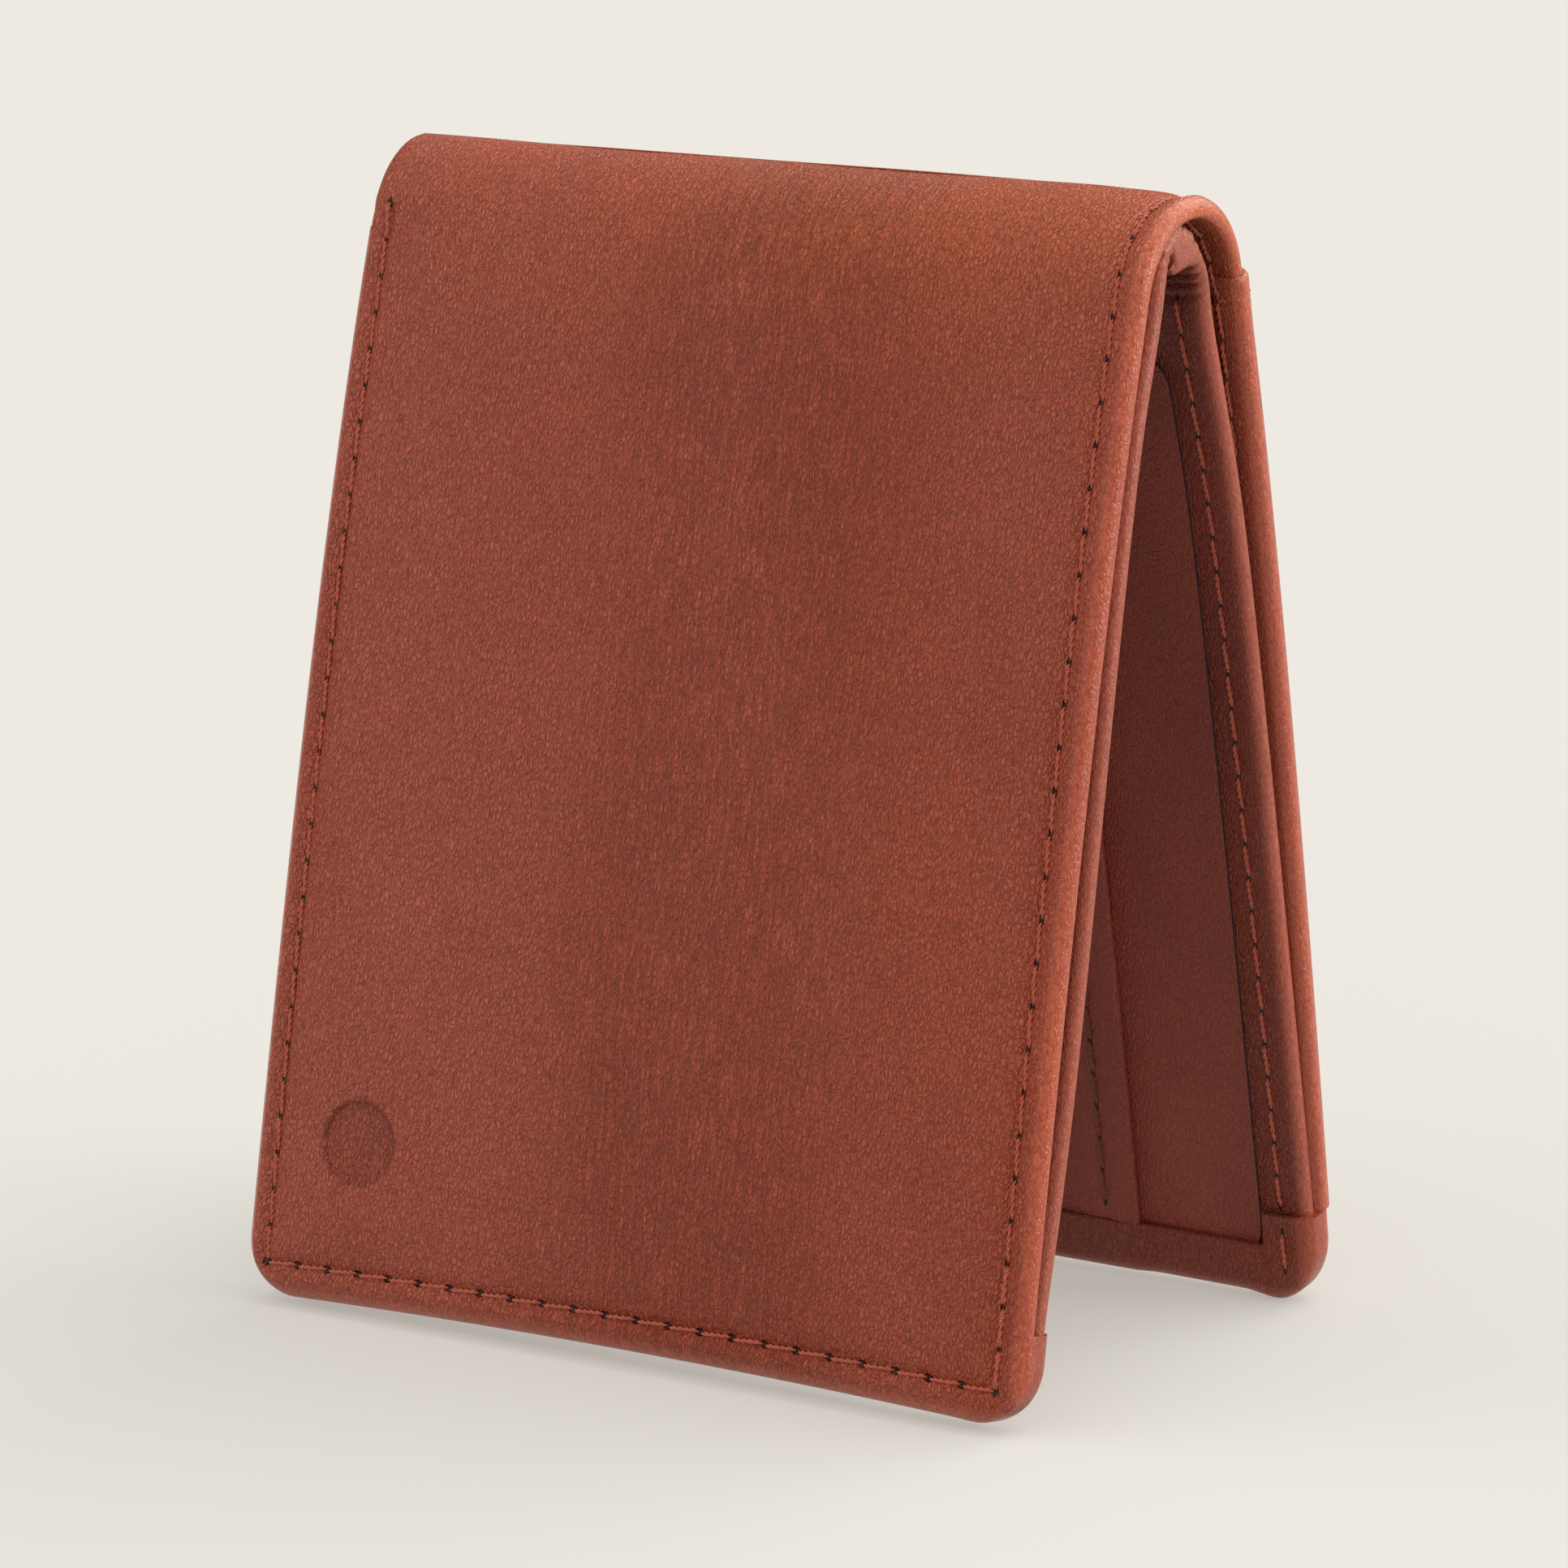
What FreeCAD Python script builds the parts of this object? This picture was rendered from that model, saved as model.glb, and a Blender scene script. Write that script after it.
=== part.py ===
import FreeCAD, Part
import math
import os

import Sketcher
from FreeCAD import Placement, Rotation, Vector

# Bifold leather wallet, standing open like a tent on its two free ends.
#
# Row frame, millimetres: +Z up, +X along the fold towards the open mouth of the bill compartment,
# -Y the front cover, +Y the back cover. The origin is on the floor under the middle of the wallet.
#
# Each half is drawn flat in its own frame and then stood up: X as in the row frame, Y up the panel
# from its foot, and Z through the layers, 0 at the outer face of the cover. The layers go towards +Z
# in the back half and -Z in the front half, so one function draws both as mirror images.
# The cover and its lining run on into the fold arc and stop at the hinge line. The spine is the
# strip of fold between the two hinge lines.

DIMENSIONS = {
    "width": 90.0,  # along the fold
    "panel_length": 105.2,  # flat part of a half, foot to fold arc
    "lean_angle": 11.5,  # of each half from the vertical, degrees
    "fold_radius": 10.0,  # outer face of the cover over the fold
    "hinge_angle": 39.0,  # of each hinge line from the top of the fold, degrees
    "relief_angle": 8.0,  # gap on each side of a hinge line, degrees of the fold arc
    "corner_radius": 6.0,
    "corner_cut": 2.8,  # off the corners of what lies inside the cover
    "edge_round": 1.1,
    "foot_flat": 0.15,  # how much of each rounded foot is pressed flat
    # layers, from the outside in
    "slip_thickness": 1.0,
    "cover_thickness": 1.2,
    "lining_thickness": 0.4,
    "bill_gap": 1.2,
    "inner_lining_thickness": 0.4,
    "inner_thickness": 1.0,
    "pocket_thickness": 0.4,
    "flap_thickness": 0.7,
    # turned edges
    "wall": 1.2,  # leather that wraps the edge of a half
    "play": 0.1,
    "flap_width": 5.5,
    "hem_top": 98.4,
    "wrap_height": 9.0,  # corner wrap that closes the end of the bill mouth
    "mouth_hem_width": 7.0,
    "mouth_hem_thickness": 0.8,
    "inner_hem_width": 6.0,
    # inner panel and card pockets
    "inner_top": 104.0,
    "pocket_top": 98.0,
    "pocket_edge": 38.6,  # X of the pocket base's painted edge
    "pocket_pitch": 13.3,  # from one pocket lip to the next
    "pocket_corner": 2.0,
    "inner_fold_height": 108.8,
    "inner_fold_radius": 4.3,
    "inner_fold_angle": 62.0,
    # stitching
    "edge_inset": 3.4,
    "inner_inset": 3.6,
    "lip_inset": 3.7,
    "slip_inset": 2.2,
    "stitch_pitch": 3.6,
    "stitch_length": 2.9,
    "thread_radius": 0.25,
    "thread_lift": 0.02,
}

doc = FreeCAD.newDocument("bifold_wallet")
dims = doc.addObject("Spreadsheet::Sheet", "dims")
for row, (alias, number) in enumerate(DIMENSIONS.items(), start=1):
    dims.set(f"A{row}", alias)
    dims.set(f"B{row}", str(number))
    dims.setAlias(f"B{row}", alias)
doc.recompute()

# Faces between the layers, measured inwards from the cover's outer face.
COVER_IN = "dims.cover_thickness"
LINING_IN = COVER_IN + " + dims.lining_thickness"
BILLS_IN = LINING_IN + " + dims.bill_gap"
INNER_LINING_IN = BILLS_IN + " + dims.inner_lining_thickness"
INNER_IN = INNER_LINING_IN + " + dims.inner_thickness"
POCKETS_IN = INNER_IN + " + 4 * dims.pocket_thickness"
HALF_DEPTH = POCKETS_IN + " + dims.flap_thickness"

# Edges in the plan of a half.
CLOSED_EDGE = "-dims.width / 2"
MOUTH_EDGE = "dims.width / 2"
INSIDE_CLOSED = "-dims.width / 2 + dims.wall + dims.play"
INSIDE_MOUTH = "dims.width / 2 - dims.wall - dims.play"
INSIDE_FOOT = "dims.wall + dims.play"
LINING_EDGE = "dims.width / 2 - dims.mouth_hem_width - dims.play"
INNER_LINING_EDGE = INSIDE_MOUTH + " - dims.inner_hem_width - dims.play"
BEYOND = "2 * dims.width"

# Angles of the fold arc, degrees: a half turns from its flat panel up to near its hinge line.
HALF_ARC = "90 - dims.lean_angle - dims.hinge_angle - dims.relief_angle"
SPINE_ARC = "2 * (dims.hinge_angle - dims.relief_angle)"


def value(expression):
    return float(dims.evalExpression(expression))


LEAN = value("dims.lean_angle")
FOLD_RADIUS = value("dims.fold_radius")
PANEL_LENGTH = value("dims.panel_length")
TILT = Rotation(Vector(1, 0, 0), -LEAN)
UP_PANEL = TILT.multVec(Vector(0, 0, 1))
TOE_IN = TILT.multVec(Vector(0, 1, 0))
EDGE_ROUND = value("dims.edge_round")

# The rounded inner corner of each foot is the lowest thing, and its flat lies on the floor.
FOOT_LIFT = (
    (EDGE_ROUND - value(HALF_DEPTH)) * TOE_IN.z
    + EDGE_ROUND * (1 - UP_PANEL.z)
    - value("dims.foot_flat")
)
FOLD_CENTRE = FOOT_LIFT + PANEL_LENGTH * UP_PANEL.z - FOLD_RADIUS * UP_PANEL.y
FOOT_REACH = FOLD_RADIUS * UP_PANEL.z + PANEL_LENGTH * UP_PANEL.y
SHIFT = value("-dims.slip_thickness / 2")

subparts = []


class Half:
    """One half of the wallet: which way its layers go, and where it stands."""

    def __init__(self, name, inward):
        self.name = name
        self.inward = inward
        self.placement = Placement(
            Vector(0, SHIFT + inward * FOOT_REACH, FOOT_LIFT),
            Rotation(Vector(1, 0, 0), 90 + inward * LEAN),
        )

    def depth(self, expression):
        """Z in the half's own frame of a face at this depth."""
        return f"{self.inward} * ({expression})"


FRONT = Half("front", -1)
BACK = Half("back", 1)
SPINE_PLACEMENT = Placement(Vector(0, SHIFT, FOLD_CENTRE), Rotation())


def new_body(label, placement):
    body = doc.addObject("PartDesign::Body", label)
    body.Label = label
    body.Placement = placement
    subparts.append(body)
    return body


def new_sketch(body, name, role, offset, corners):
    """A closed outline on one of the body's origin planes, every corner tied to the sheet."""
    sketch = body.newObject("Sketcher::SketchObject", name)
    plane = next(feature for feature in body.Origin.OriginFeatures if feature.Role == role)
    sketch.AttachmentSupport = [(plane, "")]
    sketch.MapMode = "FlatFace"
    sketch.setExpression("AttachmentOffset.Base.z", offset)
    places = [Vector(value(x), value(y), 0) for x, y in corners]
    for start, end in zip(places, places[1:] + places[:1]):
        sketch.addGeometry(Part.LineSegment(start, end), False)
    for side, (place, corner) in enumerate(zip(places, corners)):
        previous = (side - 1) % len(corners)
        sketch.addConstraint(Sketcher.Constraint("Coincident", previous, 2, side, 1))
        for direction, number, expression in zip(("DistanceX", "DistanceY"), place, corner):
            tie = sketch.addConstraint(Sketcher.Constraint(direction, -1, 1, side, 1, number))
            sketch.setExpression(f"Constraints[{tie}]", expression)
    return sketch


def rectangle(left, right, bottom, top):
    return [(left, bottom), (right, bottom), (right, top), (left, top)]


def add_layer(body, half, name, outline, outer, thickness):
    """Adds a flat layer to a half, from the depth of its outer face inwards."""
    pad = body.newObject("PartDesign::Pad", name)
    pad.Profile = new_sketch(body, name + "_outline", "XY_Plane", half.depth(outer), outline)
    pad.setExpression("Length", thickness)
    pad.Reversed = half.inward < 0


def cut_layer(body, half, name, outline, outer, thickness):
    """Cuts a flat layer out of a half, from the depth of its outer face inwards."""
    pocket = body.newObject("PartDesign::Pocket", name)
    pocket.Profile = new_sketch(body, name + "_outline", "XY_Plane", half.depth(outer), outline)
    pocket.setExpression("Length", thickness)
    pocket.Reversed = half.inward > 0


def add_half_arc(body, half, name, section):
    """Carries a half's layer on round the fold, from its flat top to near the hinge line.

    The section is drawn in X and depth.
    """
    arc = body.newObject("PartDesign::Revolution", name)
    outline = [(x, half.depth(deep)) for x, deep in section]
    sketch = new_sketch(body, name + "_section", "XZ_Plane", "-dims.panel_length", outline)
    centre = half.depth("dims.fold_radius")
    axis = sketch.addGeometry(
        Part.LineSegment(Vector(0, value(centre), 0), Vector(FOLD_RADIUS, value(centre), 0)), True
    )
    for point in (1, 2):
        tie = sketch.addConstraint(Sketcher.Constraint("DistanceY", -1, 1, axis, point, value(centre)))
        sketch.setExpression(f"Constraints[{tie}]", centre)
    arc.Profile = sketch
    arc.ReferenceAxis = (sketch, ["Axis0"])
    arc.setExpression("Angle", HALF_ARC)
    arc.Reversed = half.inward < 0


def spine_strip(label, placement, radius, section, angle):
    """A strip of the spine: its section, in X and depth below the radius, turned over the fold."""
    body = new_body(label, placement)
    outline = [(x, f"{radius} - ({deep})") for x, deep in section]
    strip = body.newObject("PartDesign::Revolution", label + "_arc")
    sketch = new_sketch(body, label + "_section", "XZ_Plane", "0", outline)
    strip.Profile = sketch
    strip.ReferenceAxis = (sketch, ["H_Axis"])
    strip.setExpression("Angle", angle)
    strip.Midplane = True


def fillet(body, name, radius, wanted):
    """Rounds the edges of the body's tip that pass the test."""
    doc.recompute()
    base = body.Tip
    edges = [f"Edge{i}" for i, edge in enumerate(base.Shape.Edges, start=1) if wanted(edge)]
    rounding = body.newObject("PartDesign::Fillet", name)
    rounding.Base = (base, edges)
    rounding.setExpression("Radius", radius)


def round_corner(body, name, radius, x, y):
    """Rounds the edge that runs through the layers at one corner of a plan."""
    place = Vector(value(x), value(y), 0)

    def runs_through(edge):
        ends = [vertex.Point for vertex in edge.Vertexes]
        flat = all(Vector(end.x, end.y, 0).distanceToPoint(place) < 1e-4 for end in ends)
        return flat and len(ends) == 2

    fillet(body, name, radius, runs_through)


def wrapped_outline(inset, corner):
    """Plan of a hollow in the cover, its foot corners cut off so that they clear the outer corners.

    The corner wrap closes the hollow's lower end at the bill mouth.
    """
    return [
        (f"{CLOSED_EDGE} + {inset}", f"{inset} + {corner}"),
        (f"{CLOSED_EDGE} + {inset} + {corner}", inset),
        (f"{MOUTH_EDGE} - {inset} - {corner}", inset),
        (f"{MOUTH_EDGE} - {inset}", f"{inset} + {corner}"),
        (f"{MOUTH_EDGE} - {inset}", "dims.wrap_height"),
        (BEYOND, "dims.wrap_height"),
        (BEYOND, BEYOND),
        (f"{CLOSED_EDGE} + {inset}", BEYOND),
    ]


def cover_section():
    """Section of the cover near the fold: the leather, doubled by the hem at the bill mouth."""
    hem_start = f"{MOUTH_EDGE} - dims.mouth_hem_width"
    hem_in = COVER_IN + " + dims.mouth_hem_thickness"
    return [
        (CLOSED_EDGE, "0"),
        (MOUTH_EDGE, "0"),
        (MOUTH_EDGE, hem_in),
        (hem_start, hem_in),
        (hem_start, COVER_IN),
        (CLOSED_EDGE, COVER_IN),
    ]


def lining_section():
    return rectangle(INSIDE_CLOSED, LINING_EDGE, COVER_IN, LINING_IN)


def make_cover(half):
    """The cover: a panel turned over the interior at its foot and closed edge, and at the bill
    mouth hemmed back on itself, with a short wrap over the corner of the foot."""
    body = new_body(f"{half.name}_cover", half.placement)
    outside = rectangle(CLOSED_EDGE, MOUTH_EDGE, "0", "dims.hem_top")
    add_layer(body, half, f"{half.name}_block", outside, "0", HALF_DEPTH)
    round_corner(body, f"{half.name}_foot_closed", "dims.corner_radius", CLOSED_EDGE, "0")
    round_corner(body, f"{half.name}_foot_mouth", "dims.corner_radius", MOUTH_EDGE, "0")
    faces = [value(half.depth(depth)) for depth in ("0", HALF_DEPTH)]

    def on_a_face(edge):
        box = edge.BoundBox
        at_face = any(abs(box.ZMin - z) < 1e-4 and abs(box.ZMax - z) < 1e-4 for z in faces)
        at_top = box.YMin > value("dims.hem_top") - 1e-4
        at_mouth = box.XMin > value(MOUTH_EDGE) - 1e-4
        outer_mouth = at_mouth and abs(box.ZMin) > 1e-4
        return at_face and not at_top and not outer_mouth

    fillet(body, f"{half.name}_edge_roll", "dims.edge_round", on_a_face)
    flap_outer = f"{HALF_DEPTH} - dims.flap_thickness"
    hollow = wrapped_outline("dims.wall", "dims.corner_cut")
    cut_layer(body, half, f"{half.name}_hollow", hollow, COVER_IN, f"{flap_outer} - ({COVER_IN})")
    opening = wrapped_outline("dims.flap_width", "dims.edge_round")
    cut_layer(body, half, f"{half.name}_opening", opening, flap_outer, "dims.wall")
    panel = rectangle(CLOSED_EDGE, MOUTH_EDGE, "dims.hem_top - dims.wall", "dims.panel_length")
    add_layer(body, half, f"{half.name}_panel_top", panel, "0", COVER_IN)
    hem_start = f"{MOUTH_EDGE} - dims.mouth_hem_width"
    hem = rectangle(hem_start, MOUTH_EDGE, "dims.wrap_height", "dims.panel_length")
    add_layer(body, half, f"{half.name}_mouth_hem", hem, COVER_IN, "dims.mouth_hem_thickness")
    add_half_arc(body, half, f"{half.name}_fold", cover_section())
    press_foot_flat(body, half)


def press_foot_flat(body, half):
    """Takes the roll of the foot off level with the floor."""
    press = body.newObject("PartDesign::SubtractiveBox", f"{half.name}_foot_flat")
    press.setExpression("Length", "2 * dims.width")
    press.setExpression("Width", "dims.width")
    press.setExpression("Height", "dims.corner_radius")
    corner = Vector(value("-dims.width"), half.inward * FOOT_REACH - value("dims.width / 2"), 0)
    corner.z = -value("dims.corner_radius")
    press.Placement = half.placement.inverse() * Placement(corner, Rotation())


def make_plate(label, half, right, top, outer, thickness):
    """A flat layer inside the cover, from its closed edge and foot to the given edges."""
    body = new_body(label, half.placement)
    outline = [
        (INSIDE_CLOSED, f"{INSIDE_FOOT} + dims.corner_cut"),
        (f"{INSIDE_CLOSED} + dims.corner_cut", INSIDE_FOOT),
        (f"{right} - dims.corner_cut", INSIDE_FOOT),
        (right, f"{INSIDE_FOOT} + dims.corner_cut"),
        (right, top),
        (INSIDE_CLOSED, top),
    ]
    add_layer(body, half, label + "_sheet", outline, outer, thickness)
    return body


def make_cover_lining(half):
    label = f"{half.name}_cover_lining"
    body = make_plate(label, half, LINING_EDGE, "dims.panel_length", COVER_IN, "dims.lining_thickness")
    add_half_arc(body, half, label + "_fold", lining_section())


def make_inner_panel(half):
    """The inner panel, its mouth edge turned back towards the bills and its lining tucked under."""
    label = f"{half.name}_inner_panel"
    body = make_plate(label, half, INSIDE_MOUTH, "dims.inner_top", INNER_LINING_IN, "dims.inner_thickness")
    hem = rectangle(
        f"{INSIDE_MOUTH} - dims.inner_hem_width", INSIDE_MOUTH, "dims.wrap_height", "dims.inner_top"
    )
    add_layer(body, half, label + "_hem", hem, BILLS_IN, "dims.inner_lining_thickness")
    make_plate(
        f"{half.name}_inner_lining",
        half,
        INNER_LINING_EDGE,
        "dims.inner_top",
        BILLS_IN,
        "dims.inner_lining_thickness",
    )


def make_pockets(half):
    """The pocket base and the card pockets stacked on it, each lip one pitch further in."""
    for step in range(4):
        label = f"{half.name}_card_pocket_{step}" if step else f"{half.name}_pocket_base"
        right = f"dims.pocket_edge - {step} * dims.pocket_pitch"
        outer = f"{INNER_IN} + {step} * dims.pocket_thickness"
        body = make_plate(label, half, right, "dims.pocket_top", outer, "dims.pocket_thickness")
        round_corner(body, label + "_lip_corner", "dims.pocket_corner", right, "dims.pocket_top")


def make_slip_pocket(half):
    """The pocket outside the back cover, its lip along the edge of the fold."""
    body = new_body(f"{half.name}_slip_pocket", half.placement)
    outline = rectangle(CLOSED_EDGE, MOUTH_EDGE, "dims.corner_radius / 2", "dims.panel_length")
    add_layer(body, half, "slip_sheet", outline, "-dims.slip_thickness", "dims.slip_thickness")
    for name, edge in (("slip_closed_corner", CLOSED_EDGE), ("slip_mouth_corner", MOUTH_EDGE)):
        round_corner(body, name, "dims.corner_radius / 2", edge, "dims.corner_radius / 2")


def row_of_stitches(start, end):
    """Stitches along a straight line in a plane, as (middle, direction) pairs."""
    line = end - start
    count = max(1, int(line.Length / value("dims.stitch_pitch")))
    return [(start + line * ((i + 0.5) / count), Vector(line).normalize()) for i in range(count)]


def arc_of_stitches(x, radius, first, last):
    """Stitches round the fold arc at one X, between two angles in degrees from its top,
    as (middle, direction) pairs."""
    pitch = math.degrees(value("dims.stitch_pitch") / radius)
    count = max(1, int((last - first) / pitch))
    stitches = []
    for i in range(count):
        turn = Rotation(Vector(1, 0, 0), first + (last - first) * (i + 0.5) / count)
        middle = Vector(x, 0, 0) + turn.multVec(Vector(0, 0, radius))
        stitches.append((middle, turn.multVec(Vector(0, 1, 0))))
    return stitches


def make_thread(label, stitches, placement):
    """The visible stitches of one seam: short lengths of round thread on the leather's surface."""
    length = value("dims.stitch_length")
    radius = value("dims.thread_radius")
    pieces = [
        Part.makeCylinder(radius, length, middle - direction * (length / 2), direction)
        for middle, direction in stitches
    ]
    thread = doc.addObject("Part::Feature", label)
    thread.Label = label
    thread.Shape = Part.makeCompound(pieces)
    thread.Placement = placement
    subparts.append(thread)


def on_surface(half, face, outwards):
    """Z in the half's frame of thread that lies on a face, on its outer or inner side."""
    away = value("dims.thread_radius + dims.thread_lift")
    return half.inward * (value(face) + (-away if outwards else away))


def seam(half, face, outwards, places):
    """Stitches along a line through places in the plan of a half, on one face."""
    z = on_surface(half, face, outwards)
    points = [Vector(value(x), value(y), z) for x, y in places]
    return [pair for start, end in zip(points, points[1:]) for pair in row_of_stitches(start, end)]


def make_edge_thread(half, outer_face):
    """The perimeter seam, on the outer face and again on the turned edges inside."""
    closed_line = f"{CLOSED_EDGE} + dims.edge_inset"
    mouth_line = f"{MOUTH_EDGE} - dims.edge_inset"
    outside = [
        (closed_line, "dims.panel_length - dims.corner_radius"),
        (closed_line, "dims.edge_inset"),
        (mouth_line, "dims.edge_inset"),
        (mouth_line, "dims.panel_length - dims.edge_inset"),
    ]
    inside = [
        (closed_line, "dims.hem_top - dims.edge_inset"),
        (closed_line, "dims.edge_inset"),
        (mouth_line, "dims.edge_inset"),
        (mouth_line, "dims.wrap_height"),
    ]
    stitches = seam(half, outer_face, True, outside) + seam(half, HALF_DEPTH, False, inside)
    make_thread(f"{half.name}_edge_thread", stitches, half.placement)


def make_inner_threads(half):
    """The seams of the inner panel's mouth edge and of the folded card pocket lips."""
    mouth_line = f"{MOUTH_EDGE} - dims.inner_inset"
    mouth = [(mouth_line, "dims.wrap_height + 1"), (mouth_line, "dims.inner_top - 1")]
    make_thread(f"{half.name}_inner_thread", seam(half, INNER_IN, False, mouth), half.placement)
    lips = []
    for step in range(1, 4):
        line = f"dims.pocket_edge - {step} * dims.pocket_pitch - dims.lip_inset"
        face = f"{INNER_IN} + {step + 1} * dims.pocket_thickness"
        lips += seam(half, face, False, [(line, "dims.flap_width + 1"), (line, "dims.pocket_top - 1")])
    make_thread(f"{half.name}_pocket_thread", lips, half.placement)


def make_slip_thread(half):
    line = "dims.panel_length - dims.slip_inset"
    places = [(f"{CLOSED_EDGE} + 1", line), (f"{MOUTH_EDGE} - 1", line)]
    stitches = seam(half, "-dims.slip_thickness", True, places)
    make_thread(f"{half.name}_slip_thread", stitches, half.placement)


def make_spine():
    """The strip of fold between the two hinge lines: cover, lining and the inner panel's own fold."""
    spine_strip("spine_cover", SPINE_PLACEMENT, "dims.fold_radius", cover_section(), SPINE_ARC)
    spine_strip("spine_lining", SPINE_PLACEMENT, "dims.fold_radius", lining_section(), SPINE_ARC)
    inner_centre = Placement(
        Vector(0, SHIFT, value("dims.inner_fold_height - dims.inner_fold_radius")), Rotation()
    )
    folds = (
        ("spine_inner_lining", "0", "dims.inner_lining_thickness", INNER_LINING_EDGE),
        ("spine_inner_panel", "dims.inner_lining_thickness", "dims.inner_thickness", INSIDE_MOUTH),
    )
    for label, outer, thickness, right in folds:
        section = rectangle(INSIDE_CLOSED, right, outer, f"{outer} + {thickness}")
        spine_strip(label, inner_centre, "dims.inner_fold_radius", section, "2 * dims.inner_fold_angle")
    radius = FOLD_RADIUS + value("dims.thread_radius + dims.thread_lift")
    reach = value(SPINE_ARC) / 2
    x = value(f"{MOUTH_EDGE} - dims.edge_inset")
    make_thread("spine_thread", arc_of_stitches(x, radius, -reach, reach), SPINE_PLACEMENT)


for half in (FRONT, BACK):
    make_cover(half)
    make_cover_lining(half)
    make_inner_panel(half)
    make_pockets(half)
    make_inner_threads(half)
make_edge_thread(FRONT, "0")
make_edge_thread(BACK, "-dims.slip_thickness")
make_slip_pocket(BACK)
make_slip_thread(BACK)
make_spine()
doc.recompute()

for item in doc.Objects:
    if {"Invalid", "Error"} & set(item.State):
        raise RuntimeError(f"{item.Label} did not build: {item.State}")

os.makedirs("parts", exist_ok=True)
for item in subparts:
    if item.Shape.isNull() or not item.Shape.isValid():
        raise RuntimeError(f"{item.Label} has no valid shape")
    item.Shape.exportStep(f"parts/{item.Label}.step")
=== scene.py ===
import math

import bmesh
import bpy
import numpy as np
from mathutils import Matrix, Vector


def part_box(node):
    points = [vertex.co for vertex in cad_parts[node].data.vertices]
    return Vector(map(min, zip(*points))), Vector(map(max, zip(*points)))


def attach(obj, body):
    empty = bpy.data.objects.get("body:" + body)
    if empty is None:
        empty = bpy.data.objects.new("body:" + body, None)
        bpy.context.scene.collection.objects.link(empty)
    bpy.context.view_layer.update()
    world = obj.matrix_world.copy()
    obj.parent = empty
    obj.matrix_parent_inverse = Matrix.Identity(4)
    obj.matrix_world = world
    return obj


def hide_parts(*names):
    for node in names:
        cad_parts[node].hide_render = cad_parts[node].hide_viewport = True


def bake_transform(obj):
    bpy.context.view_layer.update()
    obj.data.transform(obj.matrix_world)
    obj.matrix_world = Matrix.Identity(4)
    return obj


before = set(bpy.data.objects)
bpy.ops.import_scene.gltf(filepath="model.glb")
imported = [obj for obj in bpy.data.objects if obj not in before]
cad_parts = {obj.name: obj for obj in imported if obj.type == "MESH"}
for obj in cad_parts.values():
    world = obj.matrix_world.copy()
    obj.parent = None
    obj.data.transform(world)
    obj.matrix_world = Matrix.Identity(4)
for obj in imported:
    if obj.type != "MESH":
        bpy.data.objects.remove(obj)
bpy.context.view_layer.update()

# The leather of a bifold wallet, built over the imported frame. Sizes are millimetres until a mesh is
# made. A place in the cover is (x, u, d): x along the fold, u up the leather from the foot and on
# over the fold to its crest, d inwards from the outer face. A place in what lies inside is
# (x, v, e): v up the inner panel from the foot, e inwards from the face that meets the bills.

MM = 0.001
FRONT, BACK = -1, 1
NAMES = {FRONT: "front", BACK: "back"}


def node_box(node):
    low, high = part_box(node)
    return np.array(low) / MM, np.array(high) / MM


# ---- driving sizes -------------------------------------------------------------------------------
spine_low, spine_high = node_box("spine_cover")
HALF_WIDTH = node_box("front_cover")[1][0]
FOLD_TOP = spine_high[2]
FOLD_MIDDLE = (spine_low[1] + spine_high[1]) / 2
FOLD_RADIUS = 10.0
LEAN = math.radians(11.5)
PANEL = 105.2  # flat length of a half
CREST = PANEL + FOLD_RADIUS * (math.pi / 2 - LEAN)
FOOT_REACH = FOLD_RADIUS * math.cos(LEAN) + PANEL * math.sin(LEAN)
FOOT_LIFT = FOLD_TOP - FOLD_RADIUS * (1 - math.sin(LEAN)) - PANEL * math.cos(LEAN)

COVER = 1.2
LINING = 0.4
LINING_END = -43.6  # towards the closed edge
HEM = 2.0
CORNER = 6.0
WRAP = 9.0
FLAP = 5.6
SLIP = 1.0
BACK_TURN_IN = 0.7
INNER_PANEL = 1.4  # with its lining
INNER_CREST = 114.0
INNER_EDGE = 44.9
POCKET = 0.4
HEM_TOP = 107.0
POCKET_TOP = 98.0
POCKET_EDGES = [39.0, 25.3, 12.0, -1.3]
SEAM = 3.4  # from the foot to the perimeter seam
SEAM_X = HALF_WIDTH - 2.9
INNER_SEAM_X = 41.4
LIP_INSET = 3.7
LIP_AT_SEAM = 0.70  # thickness of a folded lip where it is sewn
GAP = 0.01  # keeps layers that touch apart
STITCH_RISE = 0.15
SLIP_SEAM = PANEL - 2.2
CLOSED_TOP = CREST - 9.5  # where the perimeter seam stops at the closed edge

FOOT_PITCH = 2 * SEAM_X / 23
CLOSED_PITCH = (CLOSED_TOP - SEAM) / 29
MOUTH_PITCH = (CREST - SEAM) / 29
INNER_PITCH = 3.5
INNER_ROW = (WRAP + 0.6, WRAP + 0.6 + 27 * INNER_PITCH)
LIP_ROW = (7.5, 7.5 + 25 * INNER_PITCH)

# a plain round stamp near the front's lower corner
STAMP = (-32.0, 16.5)
STAMP_RADIUS = 4.2


def smooth_step(value):
    value = np.clip(value, 0, 1)
    return value * value * (3 - 2 * value)


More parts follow.
